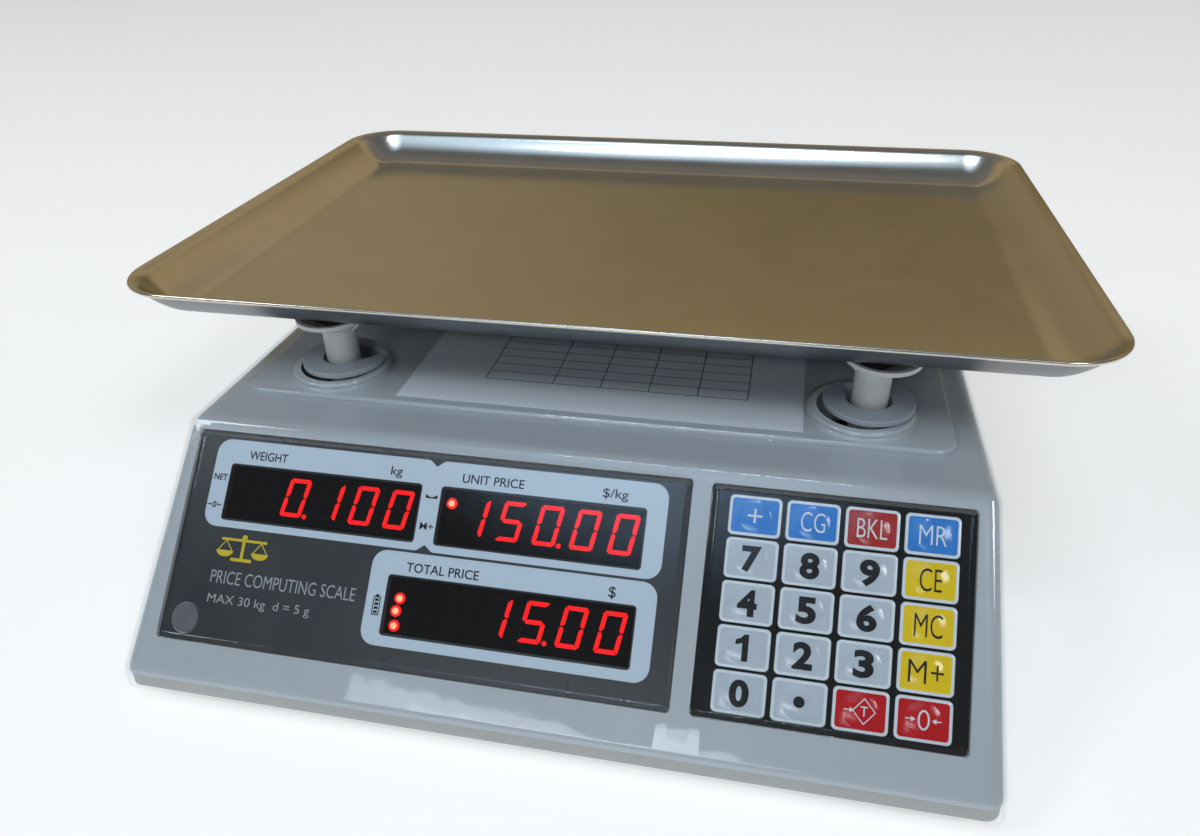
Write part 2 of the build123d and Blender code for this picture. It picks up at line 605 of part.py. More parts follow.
def power_inlet():
    """Two-pin mains socket: open cup with two contact pins."""
    y0, y1 = INLET_Y
    z0, z1 = INLET_Z
    body = box(118, SOCKET_X + 0.1, y0 + 0.3, y1 - 0.3, z0 + 0.3, z1 - 0.3)
    flange = socket_flange(INLET_Y, INLET_Z)
    cup = body + flange - box(127, 150, y0 + 2, y1 - 2, z0 + 2.5, z1 - 2.5)
    for y in ((y0 + y1) / 2 - 4.3, (y0 + y1) / 2 + 4.3):
        pin = Pos(131.5, y, (z0 + z1) / 2) * (Rot(0, 90, 0) * Cylinder(1.2, 11))
        cup = cup + pin
    return cup


def levelling_foot(sx, sy):
    """Foot disc with its stud going up into the base boss."""
    x, y = sx * FOOT_X, FOOT_YF if sy < 0 else FOOT_YR
    pad = tube(x, y, FOOT_R, 0, FOOT_DISC_T)
    pad = fillet(pad.edges().group_by(Axis.Z)[-1], 1.5)
    pad = chamfer(pad.edges().group_by(Axis.Z)[0], 1.0)
    return pad + tube(x, y, STUD_R, FOOT_DISC_T - 0.6, STUD_TOP)


def housing_screws():
    """Screws that join the base to the top housing."""
    screws = []
    for sx, sy in CORNERS.values():
        x, y = sx * SCREW_X, SCREW_YF if sy < 0 else SCREW_YR
        head = tube(x, y, SCREW_HEAD_R, FOOT_H + 1.6, FOOT_H + 4.0)
        screws.append(head + tube(x, y, SCREW_R, FOOT_H + 3.8, SEAM_Z + 16))
    return screws


def battery_door():
    """Flat door under the battery, a loose fit in the base's opening."""
    (x0, x1), (y0, y1) = BATTERY_DOOR_X, BATTERY_DOOR_Y
    return box(x0 + 0.3, x1 - 0.3, y0 + 0.3, y1 - 0.3, FOOT_H + 0.2, FOOT_H + WALL)


def spec_card():
    """Plain card lying on the plateau between the front posts."""
    return box(-68.5, 77.9, -110.0, 62.0, PLATEAU_TOP, PLATEAU_TOP + 0.3)


# ---------------------------------------------------------------------------
# write every piece
# ---------------------------------------------------------------------------

save(top_housing(), "top_housing")
save(base_housing(), "base_housing")
save(dust_cover(), "dust_cover")
save(weighing_pan(), "weighing_pan")
save(pan_locating_studs(), "pan_locating_studs")
save(pan_support_frame(), "pan_support_frame")
for corner_name, (side_x, side_y) in CORNERS.items():
    save(support_post(side_x, side_y), f"support_post_{corner_name}")
    save(transit_collar(side_x, side_y), f"transit_collar_{corner_name}")
    save(levelling_foot(side_x, side_y), f"levelling_foot_{corner_name}")

save(front_overlay(), "front_overlay")
save(windows(FRONT, WINDOWS.values()), "front_windows")
save(led_modules(FRONT, WINDOWS.values()), "front_led_modules")
save(indicator_leds(), "front_indicator_leds")
save(display_board(FRONT, (-122.0, 40.0, 4.0, 65.0)), "front_display_board")
save(level_vial(), "level_vial")

rear_sheet = slab(REAR, grown(REAR_DISPLAY, -0.15), OVERLAY_TOP - OVERLAY_T, OVERLAY_TOP, 1.4)
for window_rect in REAR_WINDOWS:
    rear_sheet = rear_sheet - slab(REAR, window_rect, -3, 3, 1.0)
save(rear_sheet, "rear_overlay")
save(windows(REAR, REAR_WINDOWS), "rear_windows")
rear_board = display_board(REAR, (-116.0, 116.0, 12.0, 43.0))
save([*led_modules(REAR, REAR_WINDOWS), rear_board], "rear_display_module")

save(keypad_overlay(), "keypad_overlay")
save(keypad_circuit(), "keypad_circuit")
for key_row, names in enumerate(KEY_NAMES):
    for key_column, key_name in enumerate(names):
        save(key(key_column, key_row), key_name)

save(load_cell(), "load_cell")
save(chassis_plate(), "chassis_plate")
save(mainboard(), "mainboard")
save(transformer(), "transformer")
save(box(*BATTERY_X, *BATTERY_Y, *BATTERY_Z), "battery")
save(battery_door(), "battery_door")
save(rocker_frame(), "rocker_frame")
save(power_rocker(), "power_rocker")
save(power_inlet(), "power_inlet")
save(housing_screws(), "housing_screws")
save(spec_card(), "spec_card")
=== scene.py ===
import math

import bmesh
import bpy
from mathutils import Matrix, Vector


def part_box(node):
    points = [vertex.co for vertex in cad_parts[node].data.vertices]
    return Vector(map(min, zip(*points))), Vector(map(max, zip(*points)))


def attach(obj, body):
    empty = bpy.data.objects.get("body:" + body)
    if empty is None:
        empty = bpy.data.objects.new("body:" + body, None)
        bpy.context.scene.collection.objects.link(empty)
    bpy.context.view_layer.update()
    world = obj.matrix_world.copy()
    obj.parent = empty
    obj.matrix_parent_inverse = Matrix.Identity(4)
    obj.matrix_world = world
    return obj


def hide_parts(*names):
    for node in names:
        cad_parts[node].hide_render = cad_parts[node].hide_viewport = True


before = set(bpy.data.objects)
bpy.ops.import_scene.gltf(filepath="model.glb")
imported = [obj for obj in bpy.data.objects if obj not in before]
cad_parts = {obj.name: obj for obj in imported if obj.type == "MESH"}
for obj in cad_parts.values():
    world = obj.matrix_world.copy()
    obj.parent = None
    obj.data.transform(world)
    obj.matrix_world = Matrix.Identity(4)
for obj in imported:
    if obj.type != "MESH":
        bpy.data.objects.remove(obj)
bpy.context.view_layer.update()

# Price-computing scale. Places and sizes below are in millimetres, and MM turns them into metres.
MM = 0.001
CORNERS = ("front_left", "front_right", "rear_left", "rear_right")


# ----------------------------
# camera
# ----------------------------

SENSOR_WIDTH, FOCAL_LENGTH = 36.0, 27.015
CAMERA_PLACE = (0.06526, -0.34778, 0.24658)
YAW, PITCH, ROLL = 12.267, 31.68, -1.253     # degrees


def make_camera():
    """A phone's wide camera, held above the keypad and turned a little to the left."""
    data = bpy.data.cameras.new("camera")
    data.sensor_width = SENSOR_WIDTH
    data.lens = FOCAL_LENGTH
    data.clip_start = 0.01
    camera = bpy.data.objects.new("camera", data)
    bpy.context.scene.collection.objects.link(camera)
    yaw, pitch, roll = math.radians(YAW), math.radians(PITCH), math.radians(ROLL)
    turn = Matrix.Rotation(yaw, 4, "Z") @ Matrix.Rotation(math.radians(90) - pitch, 4, "X")
    turn = turn @ Matrix.Rotation(roll, 4, "Z")
    camera.matrix_world = Matrix.Translation(CAMERA_PLACE) @ turn
    bpy.context.scene.camera = camera


# ----------------------------
# the two display planes: x to the reader's right, v down the slope, n out of it
# ----------------------------

class Panel:
    """A sloped printed face, found from the highest corner of its overlay node."""

    def __init__(self, node, slope_deg, facing, top_v):
        self.sin = math.sin(math.radians(slope_deg))
        self.cos = math.cos(math.radians(slope_deg))
        self.facing = facing
        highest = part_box(node)[1] / MM
        self.z = highest.z + top_v * self.sin + OVERLAY_N * self.cos
        if facing < 0:
            self.y = highest.y + top_v * self.cos - (OVERLAY_N + OVERLAY_T) * self.sin
        else:
            drop = highest.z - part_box(node)[0].z / MM - OVERLAY_T * self.cos
            bottom_v = top_v + drop / self.sin
            self.y = highest.y - bottom_v * self.cos + OVERLAY_N * self.sin

    def point(self, x, v, n=0.0):
        """A place on the panel, in metres."""
        y = self.y + self.facing * (n * self.sin + v * self.cos)
        return Vector((-self.facing * x, y, self.z - v * self.sin + n * self.cos)) * MM


OVERLAY_N, OVERLAY_T = 1.6, 0.6          # depth of the overlay's face and its thickness
MODULE_N = -2.8                          # face of the display modules
PRINT_N = -OVERLAY_N                     # the printed face of the overlays

FRONT = Panel("front_overlay", slope_deg=46.0, facing=-1, top_v=0.15)
REAR = Panel("rear_overlay", slope_deg=72.0, facing=1, top_v=8.15)


# ----------------------------
# node materials
# ----------------------------

class Nodes:
    """A node tree, with short calls that add nodes and link them."""

    def __init__(self, owner):
        owner.use_nodes = True
        self.tree = owner.node_tree
        self.tree.nodes.clear()

    def add(self, kind, sockets=None, **settings):
        """Adds a node; sockets holds values or links by socket name or number."""
        node = self.tree.nodes.new("ShaderNode" + kind)
        for key, value in settings.items():
            setattr(node, key, value)
        for key, value in (sockets or {}).items():
            if isinstance(value, bpy.types.NodeSocket):
                self.tree.links.new(value, node.inputs[key])
            else:
                node.inputs[key].default_value = value
        return node

    def mix(self, factor, first, second):
        """Mixes two colours, each a socket or four numbers."""
        return self.add("Mix", {0: factor, 6: first, 7: second}, data_type="RGBA").outputs[2]


class Shader(Nodes):
    """A material's node tree."""

    def __init__(self, name):
        self.material = bpy.data.materials.new(name)
        super().__init__(self.material)
        self.place = self.add("TexCoord").outputs["Object"]

    def noise(self, size, detail=2.0, stretch=(1, 1, 1), roughness=0.5):
        """Noise between 0 and 1 with features about size metres across."""
        at = self.add("Mapping", {"Vector": self.place, "Scale": stretch}).outputs[0]
        sockets = {"Vector": at, "Scale": 1.0 / size, "Detail": detail, "Roughness": roughness}
        return self.add("TexNoise", sockets).outputs["Fac"]

    def spread(self, value, low, high, start=0.3, end=0.7):
        """Maps a noise value onto a range."""
        sockets = {0: value, 1: start, 2: end, 3: low, 4: high}
        return self.add("MapRange", sockets).outputs[0]

    def blend(self, factor, first, second):
        """Mixes two opaque colours."""
        return self.mix(factor, (*first, 1), (*second, 1))

    def bump(self, height, strength, distance, normal=None):
        """A bump from a height value."""
        sockets = {"Height": height, "Strength": strength, "Distance": distance}
        if normal is not None:
            sockets["Normal"] = normal
        return self.add("Bump", sockets).outputs[0]

    def finish(self, shader):
        """Links the last shader to the output."""
        self.add("OutputMaterial", {"Surface": shader})
        return self.material

    def principled(self, sockets):
        """Ends the material in one principled shader."""
        return self.finish(self.add("BsdfPrincipled", sockets).outputs[0])


def tones(colour, spread):
    """A darker and a lighter tone of a colour."""
    return [tuple(min(1.0, c * k) for c in colour) for k in (1 - spread, 1 + spread)]


def plastic(name, colour, rough=0.35, grain=0.0006, height=0.00003, tone=0.06, coat=0.0, cloud=0.03):
    """Moulded plastic: a fine spark-eroded grain, slight cloudiness and uneven gloss."""
    s = Shader(name)
    clouds = s.noise(cloud, 3.0)
    colour_node = s.blend(clouds, *tones(colour, tone))
    gloss = s.spread(s.noise(cloud * 0.4, 2.0), rough * 0.85, min(1.0, rough * 1.2))
    bumps = s.bump(s.noise(grain, 1.0), 0.5, height)
    sockets = {"Base Color": colour_node, "Roughness": gloss, "Normal": bumps, "Coat Weight": coat}
    return s.principled(sockets)


def metal(name, colour, rough=0.3, stretch=(1, 1, 1), grain=0.0008, tone=0.08):
    """Bare metal with grain lines along the axis that stretch leaves long."""
    s = Shader(name)
    lines = s.noise(grain, 2.0, stretch)
    smears = s.noise(0.05, 3.0)
    colour_node = s.blend(smears, *tones(colour, tone))
    gloss = s.spread(lines, rough * 0.8, rough * 1.3)
    bumps = s.bump(lines, 0.25, 0.00003)
    sockets = {"Base Color": colour_node, "Metallic": 1.0, "Roughness": gloss, "Normal": bumps}
    return s.principled(sockets)


def pan_steel(name, dark, light, rough):
    """Satin stainless sheet: fine lines across the pan, smears, and a slight wave of the pressing."""
    s = Shader(name)
    lines = s.noise(0.0005, 2.0, (0.02, 1, 1))
    smears = s.noise(0.045, 4.0, roughness=0.6)
    colour_node = s.blend(smears, dark, light)
    fine, coarse = s.spread(lines, 0.0, 0.05), s.spread(smears, rough, rough + 0.04)
    gloss = s.add("Math", {0: fine, 1: coarse}).outputs[0]
    wave = s.bump(s.noise(0.09, 1.0), 0.15, 0.0007)
    bumps = s.bump(lines, 0.10, 0.00002, wave)
    sockets = {
        "Base Color": colour_node, "Metallic": 1.0, "Roughness": gloss, "Normal": bumps,
        "Anisotropic": 0.35,
    }
    return s.principled(sockets)


def black_film(name, dark, light, rough):
    """Black printed film with faint dust and smears."""
    s = Shader(name)
    smears = s.noise(0.02, 4.0, roughness=0.6)
    colour_node = s.blend(smears, dark, light)
    gloss = s.spread(smears, rough, rough + 0.1)
    bumps = s.bump(s.noise(0.03, 1.0), 0.1, 0.0004)
    sockets = {"Base Color": colour_node, "Roughness": gloss, "Normal": bumps}
    return s.principled(sockets)


def ink(name, colour, rough=0.3):
    """Screen-printed ink: nearly even, with a trace of mottle."""
    s = Shader(name)
    mottle = s.noise(0.0012, 2.0)
    colour_node, gloss = s.blend(mottle, *tones(colour, 0.04)), s.spread(mottle, rough, rough + 0.1)
    sockets = {"Base Color": colour_node, "Roughness": gloss, "Specular IOR Level": 0.2}
    return s.principled(sockets)


def key_film(name, colour):
    """Printed polyester film over a key, glossy, with a soft print mottle."""
    s = Shader(name)
    mottle = s.noise(0.004, 3.0)
    gloss = s.spread(s.noise(0.008, 2.0), 0.10, 0.16)
    bumps = s.bump(s.noise(0.006, 1.0), 0.1, 0.0001)
    sockets = {"Base Color": s.blend(mottle, *tones(colour, 0.05)), "Roughness": gloss, "Normal": bumps}
    return s.principled(sockets)


def see_through(name, tint, gloss, wave=None, base=0.035):
    """A thin clear or smoked sheet, with a mirror reflection that grows at grazing angles."""
    s = Shader(name)
    sockets = {"Blend": 0.5}
    if wave:
        size, distance = wave
        sockets["Normal"] = s.bump(s.noise(size, 2.0), 0.3, distance)
    facing = s.add("LayerWeight", sockets).outputs["Facing"]
    grazing = s.add("Math", {0: facing, 1: 5.0}, operation="POWER").outputs[0]
    shine = s.add("Math", {0: grazing, 1: 0.5, 2: base}, operation="MULTIPLY_ADD").outputs[0]
    through = s.add("BsdfTransparent", {"Color": (*tint, 1)}).outputs[0]
    dust = s.noise(0.015, 4.0, roughness=0.65)
    rough = s.spread(dust, gloss * 0.7, gloss * 1.5)
    glossy = {"Base Color": (0.9, 0.93, 0.95, 1), "Metallic": 1.0, "Roughness": rough}
    if wave:
        glossy["Normal"] = sockets["Normal"]
    mirror = s.add("BsdfPrincipled", glossy).outputs[0]
    return s.finish(s.add("MixShader", {0: shine, 1: through, 2: mirror}).outputs[0])


def lit(name, colour, strength):
    """A lit lamp face, a little uneven."""
    s = Shader(name)
    uneven = s.noise(0.002, 2.0)
    sockets = {
        "Base Color": (*[c * 0.4 for c in colour], 1), "Roughness": 0.35,
        "Emission Color": s.blend(uneven, *tones(colour, 0.08)), "Emission Strength": strength,
    }
    return s.principled(sockets)


def paper():
    """White card with fibre mottle and a slight cockle."""
    s = Shader("card_paper_white")
    fibre = s.noise(0.0007, 3.0)
    cockle = s.noise(0.03, 1.0)
    bumps = s.bump(fibre, 0.3, 0.00003, s.bump(cockle, 0.25, 0.0006))
    white = s.blend(fibre, (0.76, 0.80, 0.84), (0.84, 0.87, 0.90))
    sockets = {"Base Color": white, "Roughness": 0.65, "Normal": bumps}
    return s.principled(sockets)


def board():
    """Solder-masked circuit board with a pattern of copper tracks under the mask."""
    s = Shader("circuit_board_green")
    settings = {"feature": "DISTANCE_TO_EDGE", "distance": "CHEBYCHEV"}
    cells = s.add("TexVoronoi", {"Vector": s.place, "Scale": 420.0}, **settings)
    tracks = s.spread(cells.outputs["Distance"], 1.0, 0.0, 0.05, 0.09)
    colour_node = s.blend(tracks, (0.012, 0.09, 0.035), (0.03, 0.19, 0.07))
    sockets = {"Base Color": colour_node, "Roughness": 0.3, "Normal": s.bump(tracks, 0.4, 0.00003)}
    return s.principled(sockets)


FINISHES = {
    "housing": plastic("housing_abs", (0.49, 0.52, 0.545), 0.38, tone=0.04),
    "base": plastic("base_abs_warm_grey", (0.40, 0.39, 0.37), 0.42, tone=0.05),
    "post": plastic("post_plastic_pale", (0.52, 0.54, 0.55), 0.35, tone=0.05, cloud=0.012),
    "collar": plastic("collar_plastic_grey", (0.30, 0.34, 0.385), 0.42, tone=0.05, cloud=0.012),
    "stud": plastic("stud_plastic_black", (0.03, 0.03, 0.03), 0.5),
    "rubber": plastic("foot_rubber_black", (0.025, 0.025, 0.027), 0.75, 0.0012, height=0.00008, tone=0.2),
    "black": plastic("socket_plastic_black", (0.02, 0.02, 0.021), 0.32, tone=0.15),
    "module": plastic("module_face_dark", (0.02, 0.013, 0.011), 0.5, height=0.000004, tone=0.15, cloud=0.01),
    "battery": plastic("battery_case_black", (0.02, 0.02, 0.023), 0.4, tone=0.15),
    "membrane": plastic("membrane_film_grey", (0.42, 0.42, 0.40), 0.3, tone=0.08),
    "aluminium": metal("cast_aluminium_grey", (0.62, 0.63, 0.64), 0.42, grain=0.0015),
    "zinc": metal("zinc_steel_plate", (0.58, 0.59, 0.58), 0.32, (0.05, 1, 1)),
    "core": metal("core_steel_laminated", (0.10, 0.10, 0.11), 0.5, (0.03, 0.03, 1)),
    "steel": pan_steel("pan_stainless", (0.60, 0.56, 0.49), (0.70, 0.665, 0.60), 0.14),
    # pan underside: the higher roughness is an unpolished sheet, and its dark bluish base colour is painted
    # shade under the lip
    "steel_under_painted_shade": pan_steel("pan_stainless_unpolished_with_painted_shade", (0.20, 0.205, 0.215), (0.27, 0.275, 0.285), 0.30),
    "film": black_film("overlay_satin_black", (0.022, 0.025, 0.027), (0.034, 0.037, 0.040), 0.26),
    "key_film_black": black_film("keypad_gloss_black", (0.004, 0.004, 0.004), (0.009, 0.009, 0.009), 0.08),
    "board": board(),
    "paper": paper(),
    "cover": see_through("clear_cover_film", (0.97, 0.98, 0.99), 0.035, wave=(0.025, 0.0006)),
    "smoke": see_through("smoked_window_film", (0.50, 0.46, 0.46), 0.06, base=0.02),
    "vial": plastic("level_window_grey", (0.16, 0.165, 0.17), 0.18, tone=0.1, cloud=0.004, coat=0.5),
    "frame_ink": ink("ink_pale_grey", (0.60, 0.70, 0.79)),
    "black_ink": ink("ink_black", (0.012, 0.013, 0.014)),
    "grey_ink": ink("ink_light_grey", (0.42, 0.44, 0.45)),
    "white_ink": ink("ink_white", (0.78, 0.82, 0.85)),
    "yellow_ink": ink("ink_yellow", (0.72, 0.55, 0.03)),
    "key_border": key_film("key_film_border_white", (0.78, 0.84, 0.88)),
    "key_white": key_film("key_film_white", (0.56, 0.62, 0.68)),
    "key_blue": key_film("key_film_blue", (0.045, 0.25, 0.70)),
    "key_red": key_film("key_film_red", (0.60, 0.008, 0.012)),
    "key_dull_red": key_film("key_film_dull_red", (0.46, 0.035, 0.03)),
    "key_yellow": key_film("key_film_yellow", (0.92, 0.64, 0.012)),
    "segment_on": lit("segment_lit_red", (1.0, 0.012, 0.012), 6.0),
    "lamp_on": lit("lamp_lit_red", (1.0, 0.015, 0.012), 6.0),
    "lamp_hot": lit("lamp_centre_pale", (1.0, 0.30, 0.16), 10.0),
    "segment_off": plastic("segment_unlit", (0.055, 0.028, 0.026), 0.4, tone=0.1, cloud=0.01),
}

NODES_OF_FINISH = {
    "housing": ["top_housing", "battery_door"],
    "base": ["base_housing"],
    "cover": ["dust_cover"],
    "stud": ["pan_locating_studs"],
    "aluminium": ["pan_support_frame", "load_cell"],
    "zinc": ["chassis_plate", "housing_screws"],
    "core": ["transformer"],
    "battery": ["battery"],
    "board": ["mainboard", "front_display_board"],
    "module": ["rear_display_module", "front_led_modules"],
    "film": ["front_overlay", "rear_overlay"],
    "key_film_black": ["keypad_overlay"],
    "smoke": ["front_windows", "rear_windows"],
    "membrane": ["keypad_circuit"],
    "vial": ["level_vial"],
    "black": ["rocker_frame", "power_rocker", "power_inlet"],
    "post": ["support_post_" + corner for corner in CORNERS],
    "collar": ["transit_collar_" + corner for corner in CORNERS],
    "rubber": ["levelling_foot_" + corner for corner in CORNERS],
}


def finish_nodes():
    """Gives every CAD node that stays its material."""
    for finish, nodes in NODES_OF_FINISH.items():
        for node in nodes:
            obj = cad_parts[node]
            if not obj.material_slots:
                obj.data.materials.append(None)
            for slot in obj.material_slots:
                slot.material = FINISHES[finish]


# ----------------------------
# mesh building
# ----------------------------

INK_T = 0.03        # thickness of a printed layer, thick enough to be its own closed mesh
WELD = 1e-5         # distance within which points made by the font are one


class Build:
    """Points and faces gathered from several shapes, made into one object at the end."""

    def __init__(self):
        self.points = []
        self.faces = []
        self.finish_of = []

    def add(self, points, faces, finish=0):
        """Adds a shape, whose faces may share one finish or have one each."""
        start = len(self.points)
        self.points += [tuple(p) for p in points]
        self.faces += [tuple(start + i for i in face) for face in faces]
        self.finish_of += finish if isinstance(finish, list) else [finish] * len(faces)

    def make(self, name, finishes, sharp_deg=40.0):
        """The finished object, smooth except at edges sharper than an angle."""
        mesh = bpy.data.meshes.new(name)
        mesh.from_pydata(self.points, [], self.faces)
        for finish in finishes:
            mesh.materials.append(FINISHES[finish])
        mesh.polygons.foreach_set("material_index", self.finish_of)
        shape = bmesh.new()
        shape.from_mesh(mesh)
        bmesh.ops.recalc_face_normals(shape, faces=shape.faces)
        shape.to_mesh(mesh)
        shape.free()
        mesh.shade_smooth()
        mesh.set_sharp_from_angle(angle=math.radians(sharp_deg))
        obj = bpy.data.objects.new(name, mesh)
        bpy.context.scene.collection.objects.link(obj)
        return obj


def rounded(corners, radii, steps=6):
    """A closed outline with its corners rounded, by one radius or a list of one for each."""
    outline = []
    for i, corner in enumerate(corners):
        here = Vector(corner)
        before = (Vector(corners[i - 1]) - here).normalized()
        after = (Vector(corners[(i + 1) % len(corners)]) - here).normalized()
        r = radii[i] if isinstance(radii, list) else radii
        half = before.angle(after) / 2
        if r <= 0 or half > math.radians(89):
            outline.append(tuple(here))
            continue
        reach = r / math.tan(half)
        centre = here + (before + after).normalized() * (r / math.sin(half))
        first = here + before * reach - centre
        last = here + after * reach - centre
        sweep = first.angle_signed(last)
        for k in range(steps + 1):
            spoke = first.copy()
            spoke.rotate(Matrix.Rotation(-sweep * k / steps, 2))
            outline.append(tuple(centre + spoke))
    return outline


def rect(x0, x1, y0, y1):
    """The four corners of a rectangle."""
    return [(x0, y0), (x1, y0), (x1, y1), (x0, y1)]


def flat_shape(outlines, thick=INK_T):
    """Points and faces of a flat filled shape with holes, from closed outlines."""
    curve = bpy.data.curves.new("outline", "CURVE")
    curve.dimensions = "2D"
    curve.fill_mode = "BOTH"
    for outline in outlines:
        spline = curve.splines.new("POLY")
        spline.points.add(len(outline) - 1)
        for point, place in zip(spline.points, outline):
            point.co = (*place, 0, 1)
        spline.use_cyclic_u = True
    return thicken(*curve_faces(curve), thick)


def curve_faces(curve):
    """Points and faces of a curve or text, which is removed."""
    holder = bpy.data.objects.new("holder", curve)
    bpy.context.scene.collection.objects.link(holder)
    bpy.context.view_layer.update()
    mesh = bpy.data.meshes.new_from_object(holder)
    points = [v.co.copy() for v in mesh.vertices]
    faces = [tuple(p.vertices) for p in mesh.polygons]
    bpy.data.objects.remove(holder)
    bpy.data.meshes.remove(mesh)
    return points, faces


def lettering(words, width, height, weight=0.0):
    """Points and faces of a line of lettering, fitted to a width and height about its middle."""
    text = bpy.data.curves.new("words", "FONT")
    text.body = words
    text.offset = weight
    text.resolution_u = 4
    points, faces = curve_faces(text)
    low = [min(p[axis] for p in points) for axis in (0, 1)]
    high = [max(p[axis] for p in points) for axis in (0, 1)]
    scale = (width / (high[0] - low[0]), height / (high[1] - low[1]))
    middle = [(low[axis] + high[axis]) / 2 for axis in (0, 1)]
    fitted = [((p.x - middle[0]) * scale[0], (p.y - middle[1]) * scale[1]) for p in points]
    return thicken(fitted, faces, INK_T)


def thicken(points, faces, thick):
    """A closed slab from flat faces: the faces in front and behind, and a wall round them."""
    shape = bmesh.new()
    made = [shape.verts.new((p[0], p[1], thick / 2)) for p in points]
    for face in faces:
        if len(set(face)) > 2:
            shape.faces.new([made[i] for i in face])
    bmesh.ops.remove_doubles(shape, verts=shape.verts, dist=WELD)
    back = bmesh.ops.duplicate(shape, geom=shape.verts[:] + shape.edges[:] + shape.faces[:])
    for item in back["geom"]:
        if isinstance(item, bmesh.types.BMVert):
            item.co.z = -thick / 2
    pair = back["vert_map"]
    for edge in [e for e in shape.edges if len(e.link_faces) == 1]:
        a, b = edge.verts
        if a.co.z > 0 and b.co.z > 0:
            shape.faces.new([a, b, pair[b], pair[a]])
    shape.verts.index_update()
    points = [v.co.copy() for v in shape.verts]
    slab = [tuple(v.index for v in f.verts) for f in shape.faces]
    shape.free()
    return points, slab


def put(build, shape, panel, x, v, n, finish=0, height=None):
    """Lays a flat shape on a panel; height(x, y) lifts it over a dome."""
    points, faces = shape
    lift = height or (lambda px, py: 0.0)
    placed = [panel.point(x + p[0], v - p[1], n + p[2] + lift(p[0], p[1])) for p in points]
    build.add(placed, faces, finish)


# ----------------------------
# weighing pan
# ----------------------------

def ring_points(half_x, half_y, radius, z, centre, per_corner=14):
    """A rounded rectangle of points at a height, the same number whatever its size."""
    points = []
    for quarter, (sx, sy) in enumerate(((1, 1), (-1, 1), (-1, -1), (1, -1))):
        for i in range(per_corner + 1):
            turn = math.radians(90 * (quarter + i / per_corner))
            x = sx * (half_x - radius) + radius * math.cos(turn)
            y = sy * (half_y - radius) + radius * math.sin(turn)
            points.append(Vector((x + centre[0], y + centre[1], z)))
    return points


def ring_rows(count, rows, start=0):
    """Faces between neighbouring rings of count points each."""
    faces = []
    for row in range(rows):
        for i in range(count):
            a, b = (start + row * count + k % count for k in (i, i + 1))
            faces.append((a, b, b + count, a + count))
    return faces


def loft_rings(build, rings, rows_below):
    """Skins rings one after another and closes both ends; the first rows are the underside."""
    count, rows = len(rings[0]), len(rings) - 1
    faces = ring_rows(count, rows)
    finishes = [1 if row < rows_below else 0 for row in range(rows) for _ in range(count)]
    faces.append(tuple(range(count)))
    faces.append(tuple(rows * count + i for i in reversed(range(count))))
    build.add([p for ring in rings for p in ring], faces, finishes + [1, 0])


PAN_SHEET, PAN_LIP, PAN_COVE, PAN_CORNER_R = 0.8, 1.6, 20.0, 24.0
PAN_BEND = 1.9              # how much steeper the cove is at the lip than on average
PAN_INNER_R = 4.0           # least corner radius of the floor


def make_pan():
    """The pressed tray: rolled lip, coved wall and flat floor, one closed sheet."""
    low, high = (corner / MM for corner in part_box("weighing_pan"))
    centre = ((low.x + high.x) / 2, (low.y + high.y) / 2)
    half_x, half_y = (high.x - low.x) / 2, (high.y - low.y) / 2
    rim_z, depth = high.z, high.z - low.z - PAN_SHEET

    def cove_profile(extra_inset, drop, steps=18):
        """Inset and height down the cove, from the lip to the floor."""
        profile = []
        for i in range(steps + 1):
            share = i / steps
            inset = PAN_LIP + (PAN_COVE - PAN_LIP) * share + extra_inset
            profile.append((inset, rim_z - depth * (1 - (1 - share) ** PAN_BEND) - drop))
        return profile

    bead_r = PAN_LIP / 2
    turns = [math.radians(-90 + 180 * i / 8) for i in range(9)]
    bead = [(bead_r - bead_r * math.cos(t), rim_z - bead_r + bead_r * math.sin(t)) for t in turns]
    under = cove_profile(0.0, PAN_SHEET)
    below = [(inset, z) for inset, z in reversed(under) if z < rim_z - PAN_LIP]
    profile = below + bead + cove_profile(PAN_SHEET, 0.0)[1:]
    rings = [
        ring_points(half_x - inset, half_y - inset, max(PAN_CORNER_R - inset, PAN_INNER_R), z, centre)
        for inset, z in profile
    ]
    build = Build()
    loft_rings(build, [[p * MM for p in ring] for ring in rings], len(below))
    # the underside rows take the darker steel, whose base colour is painted shade
    pan = build.make("pan_tray", ["steel", "steel_under_painted_shade"], 50.0)
    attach(pan, "pan")
    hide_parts("weighing_pan")


# ----------------------------
# clear cover
# ----------------------------

DISPLAY = (-132.6, 44.2, 0.0, 73.2)
KEYPAD = (50.3, 131.7, 0.6, 73.0)
DIPS = ((DISPLAY, 1.6), (KEYPAD, 1.3))   # how deep the cover follows each recess
DIP_WALL, DIP_CORNER = 1.9, 2.5
DIP_INSET, DIP_CUT, DIP_CUTS = 0.1, 0.5, 9      # where the face is cut so that it can bend there
FACE_N, FACE_V = (0.2, 0.9), (0, 75)            # where the points of the cover's front face lie


def dip_at(x, v):
    """How far the cover's face is pressed in at a place on the front panel."""
    deepest = 0.0
    for (x0, x1, v0, v1), depth in DIPS:
        half_x, half_v = (x1 - x0) / 2 - DIP_CORNER, (v1 - v0) / 2 - DIP_CORNER
        across = abs(x - (x0 + x1) / 2) - half_x
        down = abs(v - (v0 + v1) / 2) - half_v
        outside = math.hypot(max(across, 0), max(down, 0)) + min(max(across, down), 0) - DIP_CORNER
        share = min(max((-outside - DIP_INSET) / DIP_WALL, 0), 1)
        deepest = max(deepest, depth * share * share * (3 - 2 * share))
    return deepest


